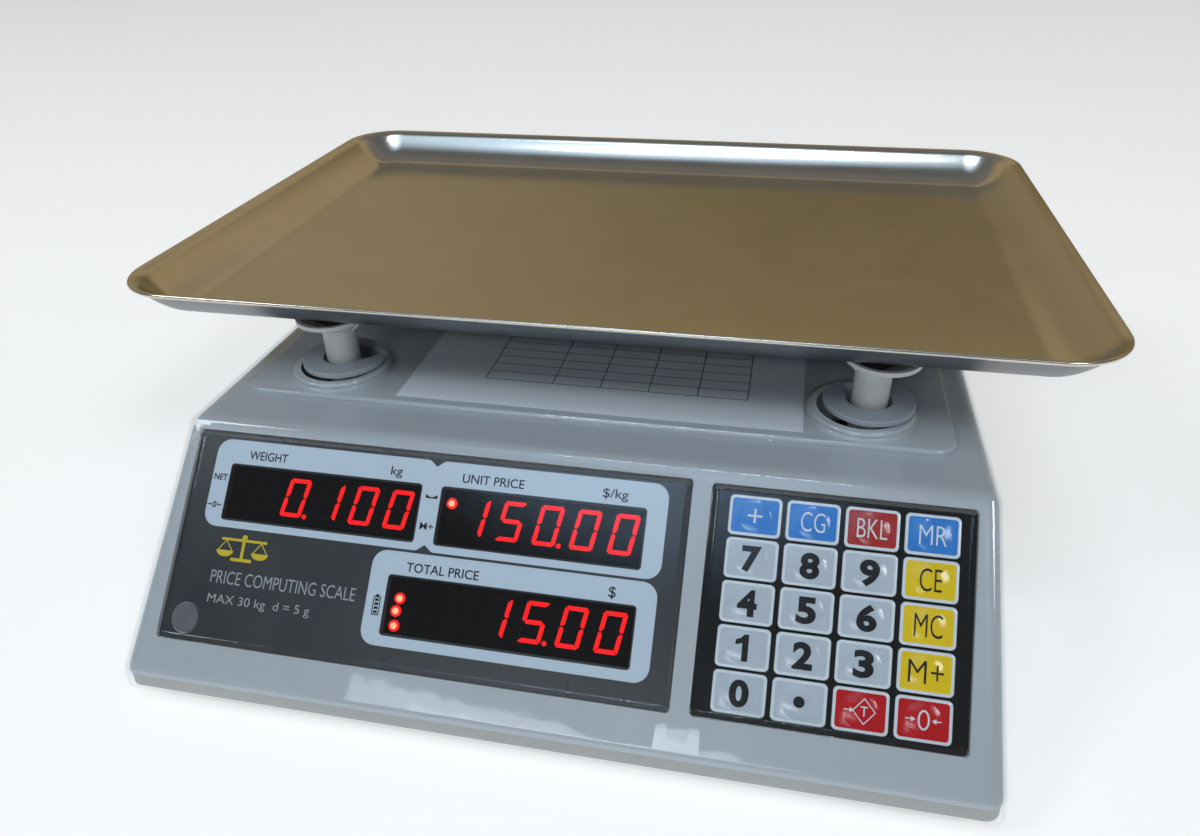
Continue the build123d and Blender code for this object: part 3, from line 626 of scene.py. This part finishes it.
def make_cover():
    """The clear cover, whose front face is pressed into the two recesses."""
    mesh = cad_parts["dust_cover"].data.copy()
    mesh.name = "clear_cover"
    shape = bmesh.new()
    shape.from_mesh(mesh)
    bmesh.ops.remove_doubles(shape, verts=shape.verts, dist=1e-6)
    normal = Vector((0, -FRONT.sin, FRONT.cos))
    down = Vector((0, -FRONT.cos, -FRONT.sin))
    origin = FRONT.point(0, 0)
    cuts = []
    right = Vector((1, 0, 0))
    for (x0, x1, v0, v1), _ in DIPS:
        for step in range(DIP_CUTS):
            inset = DIP_INSET + DIP_CUT * step
            cuts += [(right, x0 + inset), (right, x1 - inset)]
            cuts += [(down, v0 + inset), (down, v1 - inset)]
    for axis, place in cuts:
        slope = [f for f in shape.faces if abs(f.normal.dot(normal)) > 0.999]
        geom = list({item for f in slope for item in (f, *f.edges, *f.verts)})
        at = origin + axis * place * MM
        bmesh.ops.bisect_plane(shape, geom=geom, dist=1e-7, plane_co=at, plane_no=axis)
        shape.normal_update()
    for vert in shape.verts:
        offset = (vert.co - origin) / MM
        n, v = offset.dot(normal), offset.dot(down)
        if FACE_N[0] < n < FACE_N[1] and FACE_V[0] < v < FACE_V[1]:
            vert.co -= normal * dip_at(offset.x, v) * MM
    shape.to_mesh(mesh)
    shape.free()
    mesh.materials.clear()
    mesh.materials.append(FINISHES["cover"])
    mesh.shade_smooth()
    mesh.set_sharp_from_angle(angle=math.radians(50))
    cover = bpy.data.objects.new("clear_cover", mesh)
    flatten = cover.modifiers.new("flat_faces", "WEIGHTED_NORMAL")
    flatten.keep_sharp = True
    bpy.context.scene.collection.objects.link(cover)
    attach(cover, "housing")
    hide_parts("dust_cover")


# ----------------------------
# keys
# ----------------------------

KEY_W, KEY_H, KEY_R = 16.5, 12.8, 1.6
KEY_TOP, KEY_BOTTOM = -1.7, -3.05
BORDER = 0.95                 # width of the printed border
DOME_R, DOME_H = 5.4, 0.55
DOME_RINGS = (0.12, 0.3, 0.48, 0.64, 0.78, 0.88, 0.95, 1.0)
LEGEND_LIFT = 0.02

KEYS = {                      # node: colour and legend
    "key_plus": ("blue", "+"), "key_change": ("blue", "CG"), "key_backlight": ("dull_red", "BKL"),
    "key_memory_recall": ("blue", "MR"), "key_7": ("white", "7"), "key_8": ("white", "8"),
    "key_9": ("white", "9"), "key_clear_entry": ("yellow", "CE"), "key_4": ("white", "4"),
    "key_5": ("white", "5"), "key_6": ("white", "6"), "key_memory_clear": ("yellow", "MC"),
    "key_1": ("white", "1"), "key_2": ("white", "2"), "key_3": ("white", "3"),
    "key_memory_add": ("yellow", "M+"), "key_0": ("white", "0"), "key_point": ("white", "point"),
    "key_tare": ("red", "tare"), "key_zero": ("red", "zero"),
}
LETTER_SIZE = {
    "+": (4.6, 4.5), "CG": (7.5, 6.2), "BKL": (9.2, 6.0), "MR": (8.2, 6.0),
    "CE": (6.6, 7.0), "MC": (8.3, 7.0), "M+": (10.2, 6.6),
}
EDGE_RINGS = (                # from the field out and down: inset, corner radius, height, finish
    (BORDER, 1.0, 0.0, 0), (BORDER - 0.08, 1.05, 0.05, 1), (0.25, 1.4, 0.05, 1),
    (0.07, 1.55, -0.03, 1), (0.0, KEY_R, -0.2, 1), (0.0, KEY_R, KEY_BOTTOM - KEY_TOP, 1),
)


def dome_height(x, y):
    """How far the embossed dome stands above the key's film."""
    share = math.hypot(x, y) / DOME_R
    return DOME_H * (1 - share ** 2.4) if share < 1 else 0.0


def key_outline(inset, radius, per_corner=6, per_side=5):
    """Points round a key, with extra ones along its sides so that a circle can follow them."""
    half_x, half_y = KEY_W / 2 - inset, KEY_H / 2 - inset
    signs = ((1, 1), (-1, 1), (-1, -1), (1, -1))

    def corner_point(quarter, degrees):
        sx, sy = signs[quarter % 4]
        turn = math.radians(degrees)
        return Vector((sx * (half_x - radius) + radius * math.cos(turn),
                       sy * (half_y - radius) + radius * math.sin(turn)))

    points = []
    for quarter in range(4):
        points += [corner_point(quarter, 90 * (quarter + i / per_corner)) for i in range(per_corner + 1)]
        start, end = points[-1], corner_point(quarter + 1, 90 * (quarter + 1))
        points += [start.lerp(end, i / per_side) for i in range(1, per_side)]
    return points


def cut_fine(shape, step=0.8, reach=9.0):
    """Cuts a flat shape along a grid, so that it can follow a dome."""
    points, faces = shape
    cut = bmesh.new()
    made = [cut.verts.new(p) for p in points]
    for face in faces:
        cut.faces.new([made[i] for i in face])
    for axis in ((1, 0, 0), (0, 1, 0)):
        at = -reach
        while at <= reach:
            geom = cut.verts[:] + cut.edges[:] + cut.faces[:]
            bmesh.ops.bisect_plane(cut, geom=geom, dist=WELD, plane_co=Vector(axis) * at, plane_no=axis)
            at += step
    cut.verts.index_update()
    result = [v.co.copy() for v in cut.verts], [tuple(v.index for v in f.verts) for f in cut.faces]
    cut.free()
    return result


def bar(x0, y0, x1, y1, width):
    """A straight printed stroke."""
    along = (Vector((x1, y1)) - Vector((x0, y0))).normalized()
    dx, dy = -along.y * width / 2, along.x * width / 2
    return [(x0 + dx, y0 + dy), (x1 + dx, y1 + dy), (x1 - dx, y1 - dy), (x0 - dx, y0 - dy)]


def arrow(x0, x1, y, size, width):
    """A printed arrow from x0 to x1, as outlines that don't overlap."""
    way = 1 if x1 > x0 else -1
    neck = x1 - way * size
    return [
        (x0, y - width / 2), (neck, y - width / 2), (neck, y - size * 0.62), (x1, y),
        (neck, y + size * 0.62), (neck, y + width / 2), (x0, y + width / 2),
    ]


def circle(x, y, r, steps=28):
    """Points round a circle."""
    turns = [2 * math.pi * i / steps for i in range(steps)]
    return [(x + r * math.cos(turn), y + r * math.sin(turn)) for turn in turns]


def legend_shapes(legend):
    """The flat shapes printed on a key."""
    if legend == "point":
        return [flat_shape([circle(0, 0, 1.7)])]
    if legend == "tare":
        diamond = [(-2.5, 0), (1.0, 3.9), (4.5, 0), (1.0, -3.9)]
        inner = [(-2.1, 0), (1.0, 3.45), (4.1, 0), (1.0, -3.45)]
        shapes = [flat_shape([diamond, inner]), flat_shape([arrow(-4.9, -1.9, 0, 1.3, 0.32)])]
        points, faces = lettering("T", 2.2, 2.9)
        shapes.append(([p + Vector((1.0, 0, 0)) for p in points], faces))
        return shapes
    if legend == "zero":
        ring = [[(x * 0.6, y) for x, y in circle(0, 0, 2.9)], [(x * 0.5, y) for x, y in circle(0, 0, 2.35)]]
        return [flat_shape(ring), flat_shape([arrow(-5.2, -2.3, 0, 1.3, 0.32)]),
                flat_shape([arrow(5.2, 2.3, 0, 1.3, 0.32)])]
    if legend in LETTER_SIZE:
        return [lettering(legend, *LETTER_SIZE[legend], weight=-0.008)]
    if legend == "1":
        stem = [(-0.3, -4.1), (1.6, -4.1), (1.6, 4.1), (0.2, 4.1)]
        stem += [(-0.8, 3.0), (-2.4, 2.3), (-2.4, 0.8), (-0.3, 1.4)]
        return [flat_shape([stem])]
    return [lettering(legend, 6.1, 8.3, weight=0.045)]


def make_key(node, colour, legend):
    """A key's film: border, coloured field and embossed dome, with its printed legend."""
    low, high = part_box(node)
    x = (low.x + high.x) / 2 / MM
    v = (FRONT.z - low.z / MM + KEY_BOTTOM * FRONT.cos) / FRONT.sin - KEY_H / 2
    field = key_outline(*EDGE_RINGS[0][:2])
    rings = []
    for share in DOME_RINGS:
        reach = DOME_R * share
        turned = [Vector(place).normalized() * reach for place in field]
        rings.append(([(px, py, dome_height(reach, 0)) for px, py in turned], 0))
    for inset, radius, height, finish in EDGE_RINGS:
        rings.append(([(px, py, height) for px, py in key_outline(inset, radius)], finish))
    count = len(field)
    points = [FRONT.point(x + px, v - py, KEY_TOP + pz) for ring, _ in rings for px, py, pz in ring]
    faces = ring_rows(count, len(rings) - 1)
    finishes = [finish for _, finish in rings[1:] for _ in range(count)]
    points.append(FRONT.point(x, v, KEY_TOP + DOME_H))
    faces += [(len(points) - 1, (i + 1) % count, i) for i in range(count)]
    faces.append(tuple((len(rings) - 1) * count + i for i in range(count)))
    build = Build()
    build.add(points, faces, finishes + [0] * count + [1])
    for shape in legend_shapes(legend):
        put(build, cut_fine(shape), FRONT, x, v, KEY_TOP + LEGEND_LIFT, 2, dome_height)
    legend_ink = "black_ink" if colour in ("white", "yellow") else "white_ink"
    cap = build.make(node + "_film", ["key_" + colour, "key_border", legend_ink], 28.0)
    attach(cap, node)
    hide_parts(node)


# ----------------------------
# lit digits
# ----------------------------

DIGIT_PITCH = 12.7
DIGIT_W, DIGIT_H, STROKE, SLANT = 7.9, 13.4, 1.4, 0.17
SEGMENT_GAP, SEGMENT_R, SEGMENT_T = 0.14, 0.28, 0.1
POINT_R, POINT_X, POINT_Y = 0.8, 1.5, 0.55      # its place is from the digit's lower corner
SEGMENTS_OF = {"0": "abcdef", "1": "bc", "5": "afgcd", " ": ""}      # the digits that are shown


def segment_outlines():
    """The seven bars of a digit, mitred against each other, about the digit's middle."""
    w, h, t, g = DIGIT_W / 2, DIGIT_H / 2, STROKE, SEGMENT_GAP
    top = [(-w + g, h), (w - g, h), (w - t - g, h - t), (-w + t + g, h - t)]
    middle = [(-w + t / 2 + g, 0), (-w + t + g, t / 2), (w - t - g, t / 2), (w - t / 2 - g, 0),
              (w - t - g, -t / 2), (-w + t + g, -t / 2)]
    right = [(w, h - g), (w, g + 0.2), (w - 0.5 * t, g), (w - t, g + 0.5 * t), (w - t, h - t - g)]
    flip_x = [(-x, y) for x, y in right]
    bars = {"a": top, "d": [(x, -y) for x, y in top], "g": middle, "b": right, "f": flip_x}
    bars["c"] = [(x, -y) for x, y in right]
    bars["e"] = [(x, -y) for x, y in flip_x]
    return bars


def make_digits(name, panel, rows):
    """Lit and unlit segments; a row is its middle v, and its cells as (x, digit, point lit)."""
    bars = segment_outlines()
    lit_build, dark_build = Build(), Build()
    spot_x, spot_y = DIGIT_W / 2 + POINT_X - SLANT * DIGIT_H / 2, -DIGIT_H / 2 + POINT_Y
    spot = flat_shape([circle(spot_x, spot_y, POINT_R, 16)], SEGMENT_T)
    for v, cells in rows:
        for x, digit, point in cells:
            for part, outline in bars.items():
                slanted = [(px + py * SLANT, py) for px, py in outline]
                on = part in SEGMENTS_OF[digit]
                shape = flat_shape([rounded(slanted, SEGMENT_R, 3)], SEGMENT_T)
                put(lit_build if on else dark_build, shape, panel, x, v, MODULE_N + INK_T)
            put(lit_build if point else dark_build, spot, panel, x, v, MODULE_N + INK_T)
    for build, label, finish in ((lit_build, "lit", "segment_on"), (dark_build, "unlit", "segment_off")):
        obj = build.make(f"{name}_{label}", [finish], 30.0)
        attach(obj, "housing")


def row_of(text, last_x, pitch=DIGIT_PITCH):
    """Cells of a right-aligned row; a full stop lights the point of the digit before it."""
    cells = []
    for char in text:
        if char == ".":
            cells[-1][2] = True
        else:
            cells.append([0, char, False])
    for i, cell in enumerate(reversed(cells)):
        cell[0] = last_x - pitch * i
    return cells


LAMPS = (                     # x, v, lit
    (-48.9, 49.8, True), (-49.6, 54.0, True), (-49.4, 58.8, True), (-36.2, 16.5, True),
    (-36.4, 21.5, False), (-115.1, 17.1, False), (-114.9, 25.8, False),
)
LAMP_TOP = 0.5
LAMP_RINGS = ((0.5, 0.47), (1.1, 0.38), (1.6, 0.2), (1.9, 0.0), (1.9, -0.06))     # radius, height
LAMP_SIDES = 24


def make_lamps():
    """Round lamps beside the digits: three battery lamps and one of the two in the price row lit."""
    build = Build()
    rows = len(LAMP_RINGS) - 1
    faces = [(0, 1 + i, 1 + (i + 1) % LAMP_SIDES) for i in range(LAMP_SIDES)]
    faces += ring_rows(LAMP_SIDES, rows, 1)
    faces.append(tuple(1 + rows * LAMP_SIDES + i for i in range(LAMP_SIDES)))
    bright = [0] * (2 * LAMP_SIDES) + [1] * ((rows - 1) * LAMP_SIDES) + [2]
    for x, v, on in LAMPS:
        points = [FRONT.point(x, v, MODULE_N + LAMP_TOP)]
        for r, n in LAMP_RINGS:
            points += [FRONT.point(x + px, v + py, MODULE_N + n) for px, py in circle(0, 0, r, LAMP_SIDES)]
        build.add(points, faces, bright if on else 2)
    lamps = build.make("front_indicator_lamps", ["lamp_hot", "lamp_on", "segment_off"], 60.0)
    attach(lamps, "housing")
    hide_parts("front_indicator_leds")


# ----------------------------
# printing
# ----------------------------

WINDOWS = {"weight": (-118.4, -47.4, 11.4, 30.8), "unit_price": (-39.9, 29.9, 11.4, 30.8),
           "total_price": (-53.4, 30.1, 42.6, 62.0)}
REAR_WINDOWS = [(-112.0, -42.0, 18.0, 37.0), (-35.0, 35.0, 18.0, 37.0), (42.0, 112.0, 18.0, 37.0)]


def window_hole(window, grow=0.35):
    """A window's outline on the printed sheet, x against minus v."""
    x0, x1, v0, v1 = window
    return rounded(rect(x0 - grow, x1 + grow, -v1 - grow, -v0 + grow), 1.3)


FRAME_CORNER, NOTCH = 5.0, 2.2


def double_frame(x0, x1, v0, v1, notch_x, notch=NOTCH, corner=FRAME_CORNER):
    """Two joined frames with a small notch above and below where they meet."""
    step = notch * 1.25
    corners = [(x0, -v1), (notch_x - step, -v1), (notch_x, -v1 + notch), (notch_x + step, -v1), (x1, -v1),
               (x1, -v0), (notch_x + step, -v0), (notch_x, -v0 - notch), (notch_x - step, -v0), (x0, -v0)]
    radii = [corner, notch, 0.3, notch, corner, corner, notch, 0.3, notch, corner]
    return rounded(corners, radii)


def make_print(name, panel, shapes, finish, n=PRINT_N):
    """One colour of printing: shapes as (flat shape, x, v)."""
    build = Build()
    for shape, x, v in shapes:
        put(build, shape, panel, x, v, n)
    obj = build.make(name, [finish], 30.0)
    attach(obj, "housing")


def pictogram():
    """A plain balance: beam, post, foot and two hanging bowls."""
    shapes = [
        [rounded(bar(-8.6, 2.9, 8.6, 2.9, 0.9), 0.3)],
        [rounded(bar(0, 2.4, 0, -3.4, 1.1), 0.2)],
        [rounded(rect(-4.0, 4.0, -4.4, -3.3), 0.4)],
        [circle(0, 3.9, 1.0, 20)],
    ]
    for side in (-1, 1):
        middle = side * 6.6
        for lean in (-1, 1):
            shapes.append([bar(middle, 2.5, middle + lean * 2.6, -1.0, 0.35)])
        turns = [math.radians(degrees) for degrees in range(180, 361, 15)]
        shapes.append([[(middle + 3.2 * math.cos(t), -1.0 + 2.2 * math.sin(t)) for t in turns]])
    return [flat_shape(outlines) for outlines in shapes]


def battery_sign():
    """A battery outline with four charge bars."""
    body = [rounded(rect(-1.3, 1.3, -3.4, 2.8), 0.3), rounded(rect(-0.95, 0.95, -3.05, 2.45), 0.2)]
    shapes = [flat_shape(body), flat_shape([rect(-0.6, 0.6, 2.8, 3.4)])]
    for i in range(4):
        low = -2.75 + 1.32 * i
        shapes.append(flat_shape([rect(-0.68, 0.68, low, low + 0.85)]))
    return shapes


LABELS = (                    # words, width, height, weight, middle x, middle v
    ("WEIGHT", 14.6, 3.1, 0.01, -105.3, 7.6), ("kg", 4.2, 4.0, 0.006, -57.1, 8.1),
    ("UNIT PRICE", 21.6, 3.1, 0.01, -22.6, 7.7), ("$/kg", 8.6, 4.0, 0.006, 19.2, 7.9),
    ("TOTAL PRICE", 25.2, 3.1, 0.01, -35.3, 39.3), ("$", 2.4, 4.0, 0.006, 22.0, 39.2),
    ("NET", 5.1, 2.2, 0.02, -121.9, 16.3), ("0", 1.6, 2.2, 0.02, -122.2, 26.2),
    ("M+", 4.8, 2.3, 0.01, -43.4, 25.2),
)
REAR_LABELS = (("WEIGHT  kg", 21), ("UNIT PRICE  $/kg", 33), ("TOTAL PRICE  $", 29))


def print_front():
    """The front overlay's frames, labels and signs."""
    upper = [double_frame(-125.2, 36.8, 2.6, 33.6, -43.0), window_hole(WINDOWS["weight"]),
             window_hole(WINDOWS["unit_price"])]
    total = [rounded(rect(-60.2, 36.6, -65.8, -34.5), FRAME_CORNER), window_hole(WINDOWS["total_price"])]
    frames = [(flat_shape(upper), 0, 0), (flat_shape(total), 0, 0)]
    make_print("front_print_frames", FRONT, frames, "frame_ink")
    bracket = [(-2.1, -0.6), (2.1, -0.6), (2.1, 0.75), (0.5, -0.15), (-0.5, -0.15), (-2.1, 0.75)]
    labels = [
        (lettering(words, width, height, weight), x, v) for words, width, height, weight, x, v in LABELS
    ]
    labels += [(flat_shape([arrow(2.8 * side, 1.0 * side, 0, 0.8, 0.32)]), -122.2, 26.2) for side in (-1, 1)]
    labels.append((flat_shape([bracket]), -43.3, 15.1))
    labels += [(shape, -56.3, 52.8) for shape in battery_sign()]
    make_print("front_print_labels", FRONT, labels, "black_ink", n=PRINT_N + INK_T)
    signs = [(shape, -108.0, 40.4) for shape in pictogram()]
    make_print("front_print_pictogram", FRONT, signs, "yellow_ink")
    words = [(lettering("PRICE COMPUTING SCALE", 53.6, 4.4, -0.004), -91.0, 50.6),
             (lettering("MAX 30 kg  d = 5 g", 38.0, 3.9), -98.4, 58.4)]
    make_print("front_print_words", FRONT, words, "grey_ink")


def print_rear():
    """The customer side's frames and labels."""
    frames = []
    labels = []
    for window, (words, width) in zip(REAR_WINDOWS, REAR_LABELS):
        x0, x1, v0, v1 = window
        outline = rounded(rect(x0 - 3.0, x1 + 3.0, -v1 - 2.6, -v0 + 7.2), 3.0)
        frames.append((flat_shape([outline, window_hole(window)]), 0, 0))
        labels.append((lettering(words, width, 3.4), (x0 + x1) / 2, v0 - 3.6))
    make_print("rear_print_frames", REAR, frames, "frame_ink")
    make_print("rear_print_labels", REAR, labels, "black_ink", n=PRINT_N + INK_T)


def make_displays():
    """Digits on both sides show the same weighing."""
    front_rows = [
        (20.7, row_of(" 0.100", -54.7)), (20.3, row_of("150.00", 23.3)), (51.7, row_of(" 15.00", 22.9)),
    ]
    make_digits("front_digits", FRONT, front_rows)
    rear_rows = [(27.5, row_of(" 0.100", -51.6) + row_of("150.00", 25.4) + row_of(" 15.00", 102.4))]
    make_digits("rear_digits", REAR, rear_rows)
    make_lamps()


# ----------------------------
# card under the cover
# ----------------------------

CARD_CELLS, CARD_T = (48, 56), 0.12
CARD_GAP, CARD_WAVE = 0.1, 0.05      # gap under the card, and how far it cockles
RULE_W, RULE_LIFT, RULE_STEPS = 0.35, 0.012, 24
RULE_COLUMNS = (-40.0, -14.0, 4.0, 22.0, 40.0, 58.0)
RULE_ROWS = [-66.0 + 6.2 * k for k in range(8)]


def make_card():
    """A sheet of card with ruled tables, cockled by a slight wave over the whole sheet."""
    low, high = (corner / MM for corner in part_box("spec_card"))
    across, along = CARD_CELLS

    def height(x, y):
        """How far the sheet stands off the plateau."""
        share_x = (x - low.x) / (high.x - low.x)
        share_y = (y - low.y) / (high.y - low.y)
        wave = CARD_WAVE * math.sin(7 * share_x + 2.5 * share_y) * math.sin(5 * share_y + 1.0)
        return low.z + CARD_GAP + wave

    build = Build()
    points, faces = [], []
    for layer in (0, CARD_T):
        for j in range(along + 1):
            for i in range(across + 1):
                x = low.x + (high.x - low.x) * i / across
                y = low.y + (high.y - low.y) * j / along
                points.append(Vector((x, y, height(x, y) + layer)) * MM)
    row = across + 1
    layer_size = row * (along + 1)
    for j in range(along):
        for i in range(across):
            a = j * row + i
            faces.append((a, a + row, a + row + 1, a + 1))
            faces.append(tuple(layer_size + k for k in (a, a + 1, a + row + 1, a + row)))
    edge = list(range(row)) + [j * row + across for j in range(1, along + 1)]
    edge += [along * row + i for i in reversed(range(across))] + [j * row for j in reversed(range(1, along))]
    for a, b in zip(edge, edge[1:] + edge[:1]):
        faces.append((a, b, b + layer_size, a + layer_size))
    build.add(points, faces, 0)
    strokes = [(RULE_COLUMNS[0], RULE_COLUMNS[-1], y, y + RULE_W) for y in RULE_ROWS]
    strokes += [(x, x + RULE_W, RULE_ROWS[0], RULE_ROWS[-1]) for x in RULE_COLUMNS]
    for x0, x1, y0, y1 in strokes:
        places = []
        for i in range(RULE_STEPS + 1):
            if x1 - x0 > y1 - y0:
                x = x0 + (x1 - x0) * i / RULE_STEPS
                places += [(x, y0), (x, y1)]
            else:
                y = y0 + (y1 - y0) * i / RULE_STEPS
                places += [(x0, y), (x1, y)]
        ruled = [Vector((x, y, height(x, y) + CARD_T + RULE_LIFT)) * MM for x, y in places]
        build.add(ruled, [(2 * i, 2 * i + 1, 2 * i + 3, 2 * i + 2) for i in range(RULE_STEPS)], 1)
    card = build.make("spec_card_sheet", ["paper", "black_ink"], 60.0)
    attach(card, "housing")
    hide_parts("spec_card")


# ----------------------------
# floor and light
# ----------------------------

FLOOR_HALF = 15.0             # metres
LOW_WALL, LEFT_WALL, MID_WALL = (0.19, 0.145, 0.070, 1), (0.34, 0.275, 0.17, 1), (0.42, 0.33, 0.19, 1)
HIGH_WALL, NEAR_WALL, CEILING = (0.20, 0.19, 0.18, 1), (0.11, 0.118, 0.126, 1), (0.85, 1.20, 1.62, 1)
CEILING_WAY = (-0.12, -0.42, 0.90)              # towards the middle of the bright ceiling


def make_floor():
    """A large pale floor."""
    s = Shader("floor_pale")
    colour_node = s.blend(s.noise(0.5, 2.0), (0.88, 0.88, 0.88), (0.92, 0.92, 0.92))
    sockets = {
        "Base Color": colour_node, "Roughness": 0.8,
        "Emission Color": (1.0, 1.0, 1.0, 1), "Emission Strength": 0.4,
    }
    material = s.principled(sockets)
    mesh = bpy.data.meshes.new("floor")
    corners = rect(-FLOOR_HALF, FLOOR_HALF, -FLOOR_HALF, FLOOR_HALF)
    mesh.from_pydata([(*corner, 0) for corner in corners], [], [(0, 1, 2, 3)])
    mesh.materials.append(material)
    floor = bpy.data.objects.new("floor", mesh)
    bpy.context.scene.collection.objects.link(floor)


def make_world():
    """A room: cool bright ceiling, warm brown beyond the scale, dim behind the camera."""
    world = bpy.data.worlds.new("room")
    bpy.context.scene.world = world
    n = Nodes(world)

    def step(value, start, end):
        """A soft step up from start to end, or down where end is lower."""
        sockets = {0: value, 1: start, 2: end}
        return n.add("MapRange", sockets, interpolation_type="SMOOTHSTEP").outputs[0]

    where = n.add("TexCoord").outputs["Generated"]
    axes = n.add("SeparateXYZ", {0: where}).outputs
    to_left = step(axes["X"], 0.1, -0.6)
    low_wall = n.mix(to_left, LOW_WALL, LEFT_WALL)
    mid_wall = n.mix(step(axes["Z"], 0.36, 0.52), low_wall, MID_WALL)
    far_wall = n.mix(step(axes["Z"], 0.60, 0.78), mid_wall, HIGH_WALL)
    walls = n.mix(step(axes["Y"], -0.15, 0.35), NEAR_WALL, far_wall)
    overhead = n.add("VectorMath", {0: where, 1: CEILING_WAY}, operation="DOT_PRODUCT")
    ceiling = step(overhead.outputs["Value"], 0.935, 0.99)
    colour = n.mix(ceiling, walls, CEILING)
    background = n.add("Background", {"Color": colour, "Strength": 1.0})
    n.add("OutputWorld", {"Surface": background.outputs[0]})


LIGHTS = (                    # name, place in metres, width, height, watts
    ("tube", (-0.1, -0.6, 2.0), 0.8, 0.05, 3.0),
    ("window_core", (-0.36, -1.91, 1.11), 0.45, 0.10, 1.2),
    ("window_middle", (-0.36, -1.91, 1.11), 0.80, 0.20, 2.2),
    ("window_edge", (-0.36, -1.91, 1.11), 1.15, 0.30, 3.0),
    ("softbox_right", (1.4, -1.3, 1.9), 0.6, 0.6, 13.5),
    ("softbox_left", (-1.6, -1.0, 1.85), 0.6, 0.6, 9.0),
)
LIGHT_COLOUR = (0.93, 0.98, 1.0)
LIGHT_TARGET = Vector((0.0, 0.0, 0.05))


def make_lights():
    """Two soft boxes, a tube light for the long streaks and a window that fades towards its edges."""
    for name, place, width, height, watts in LIGHTS:
        data = bpy.data.lights.new(name, "AREA")
        data.energy = watts
        data.color = LIGHT_COLOUR
        data.shape = "RECTANGLE"
        data.size, data.size_y = width, height
        light = bpy.data.objects.new(name, data)
        light.location = place
        light.rotation_euler = (LIGHT_TARGET - Vector(place)).to_track_quat("-Z", "Y").to_euler()
        bpy.context.scene.collection.objects.link(light)


# ----------------------------
# everything
# ----------------------------

bpy.context.scene.view_settings.view_transform = "Standard"
make_camera()
finish_nodes()
make_pan()
make_cover()
for key_node, (key_colour, key_legend) in KEYS.items():
    make_key(key_node, key_colour, key_legend)
make_displays()
print_front()
print_rear()
make_card()
make_floor()
make_world()
make_lights()
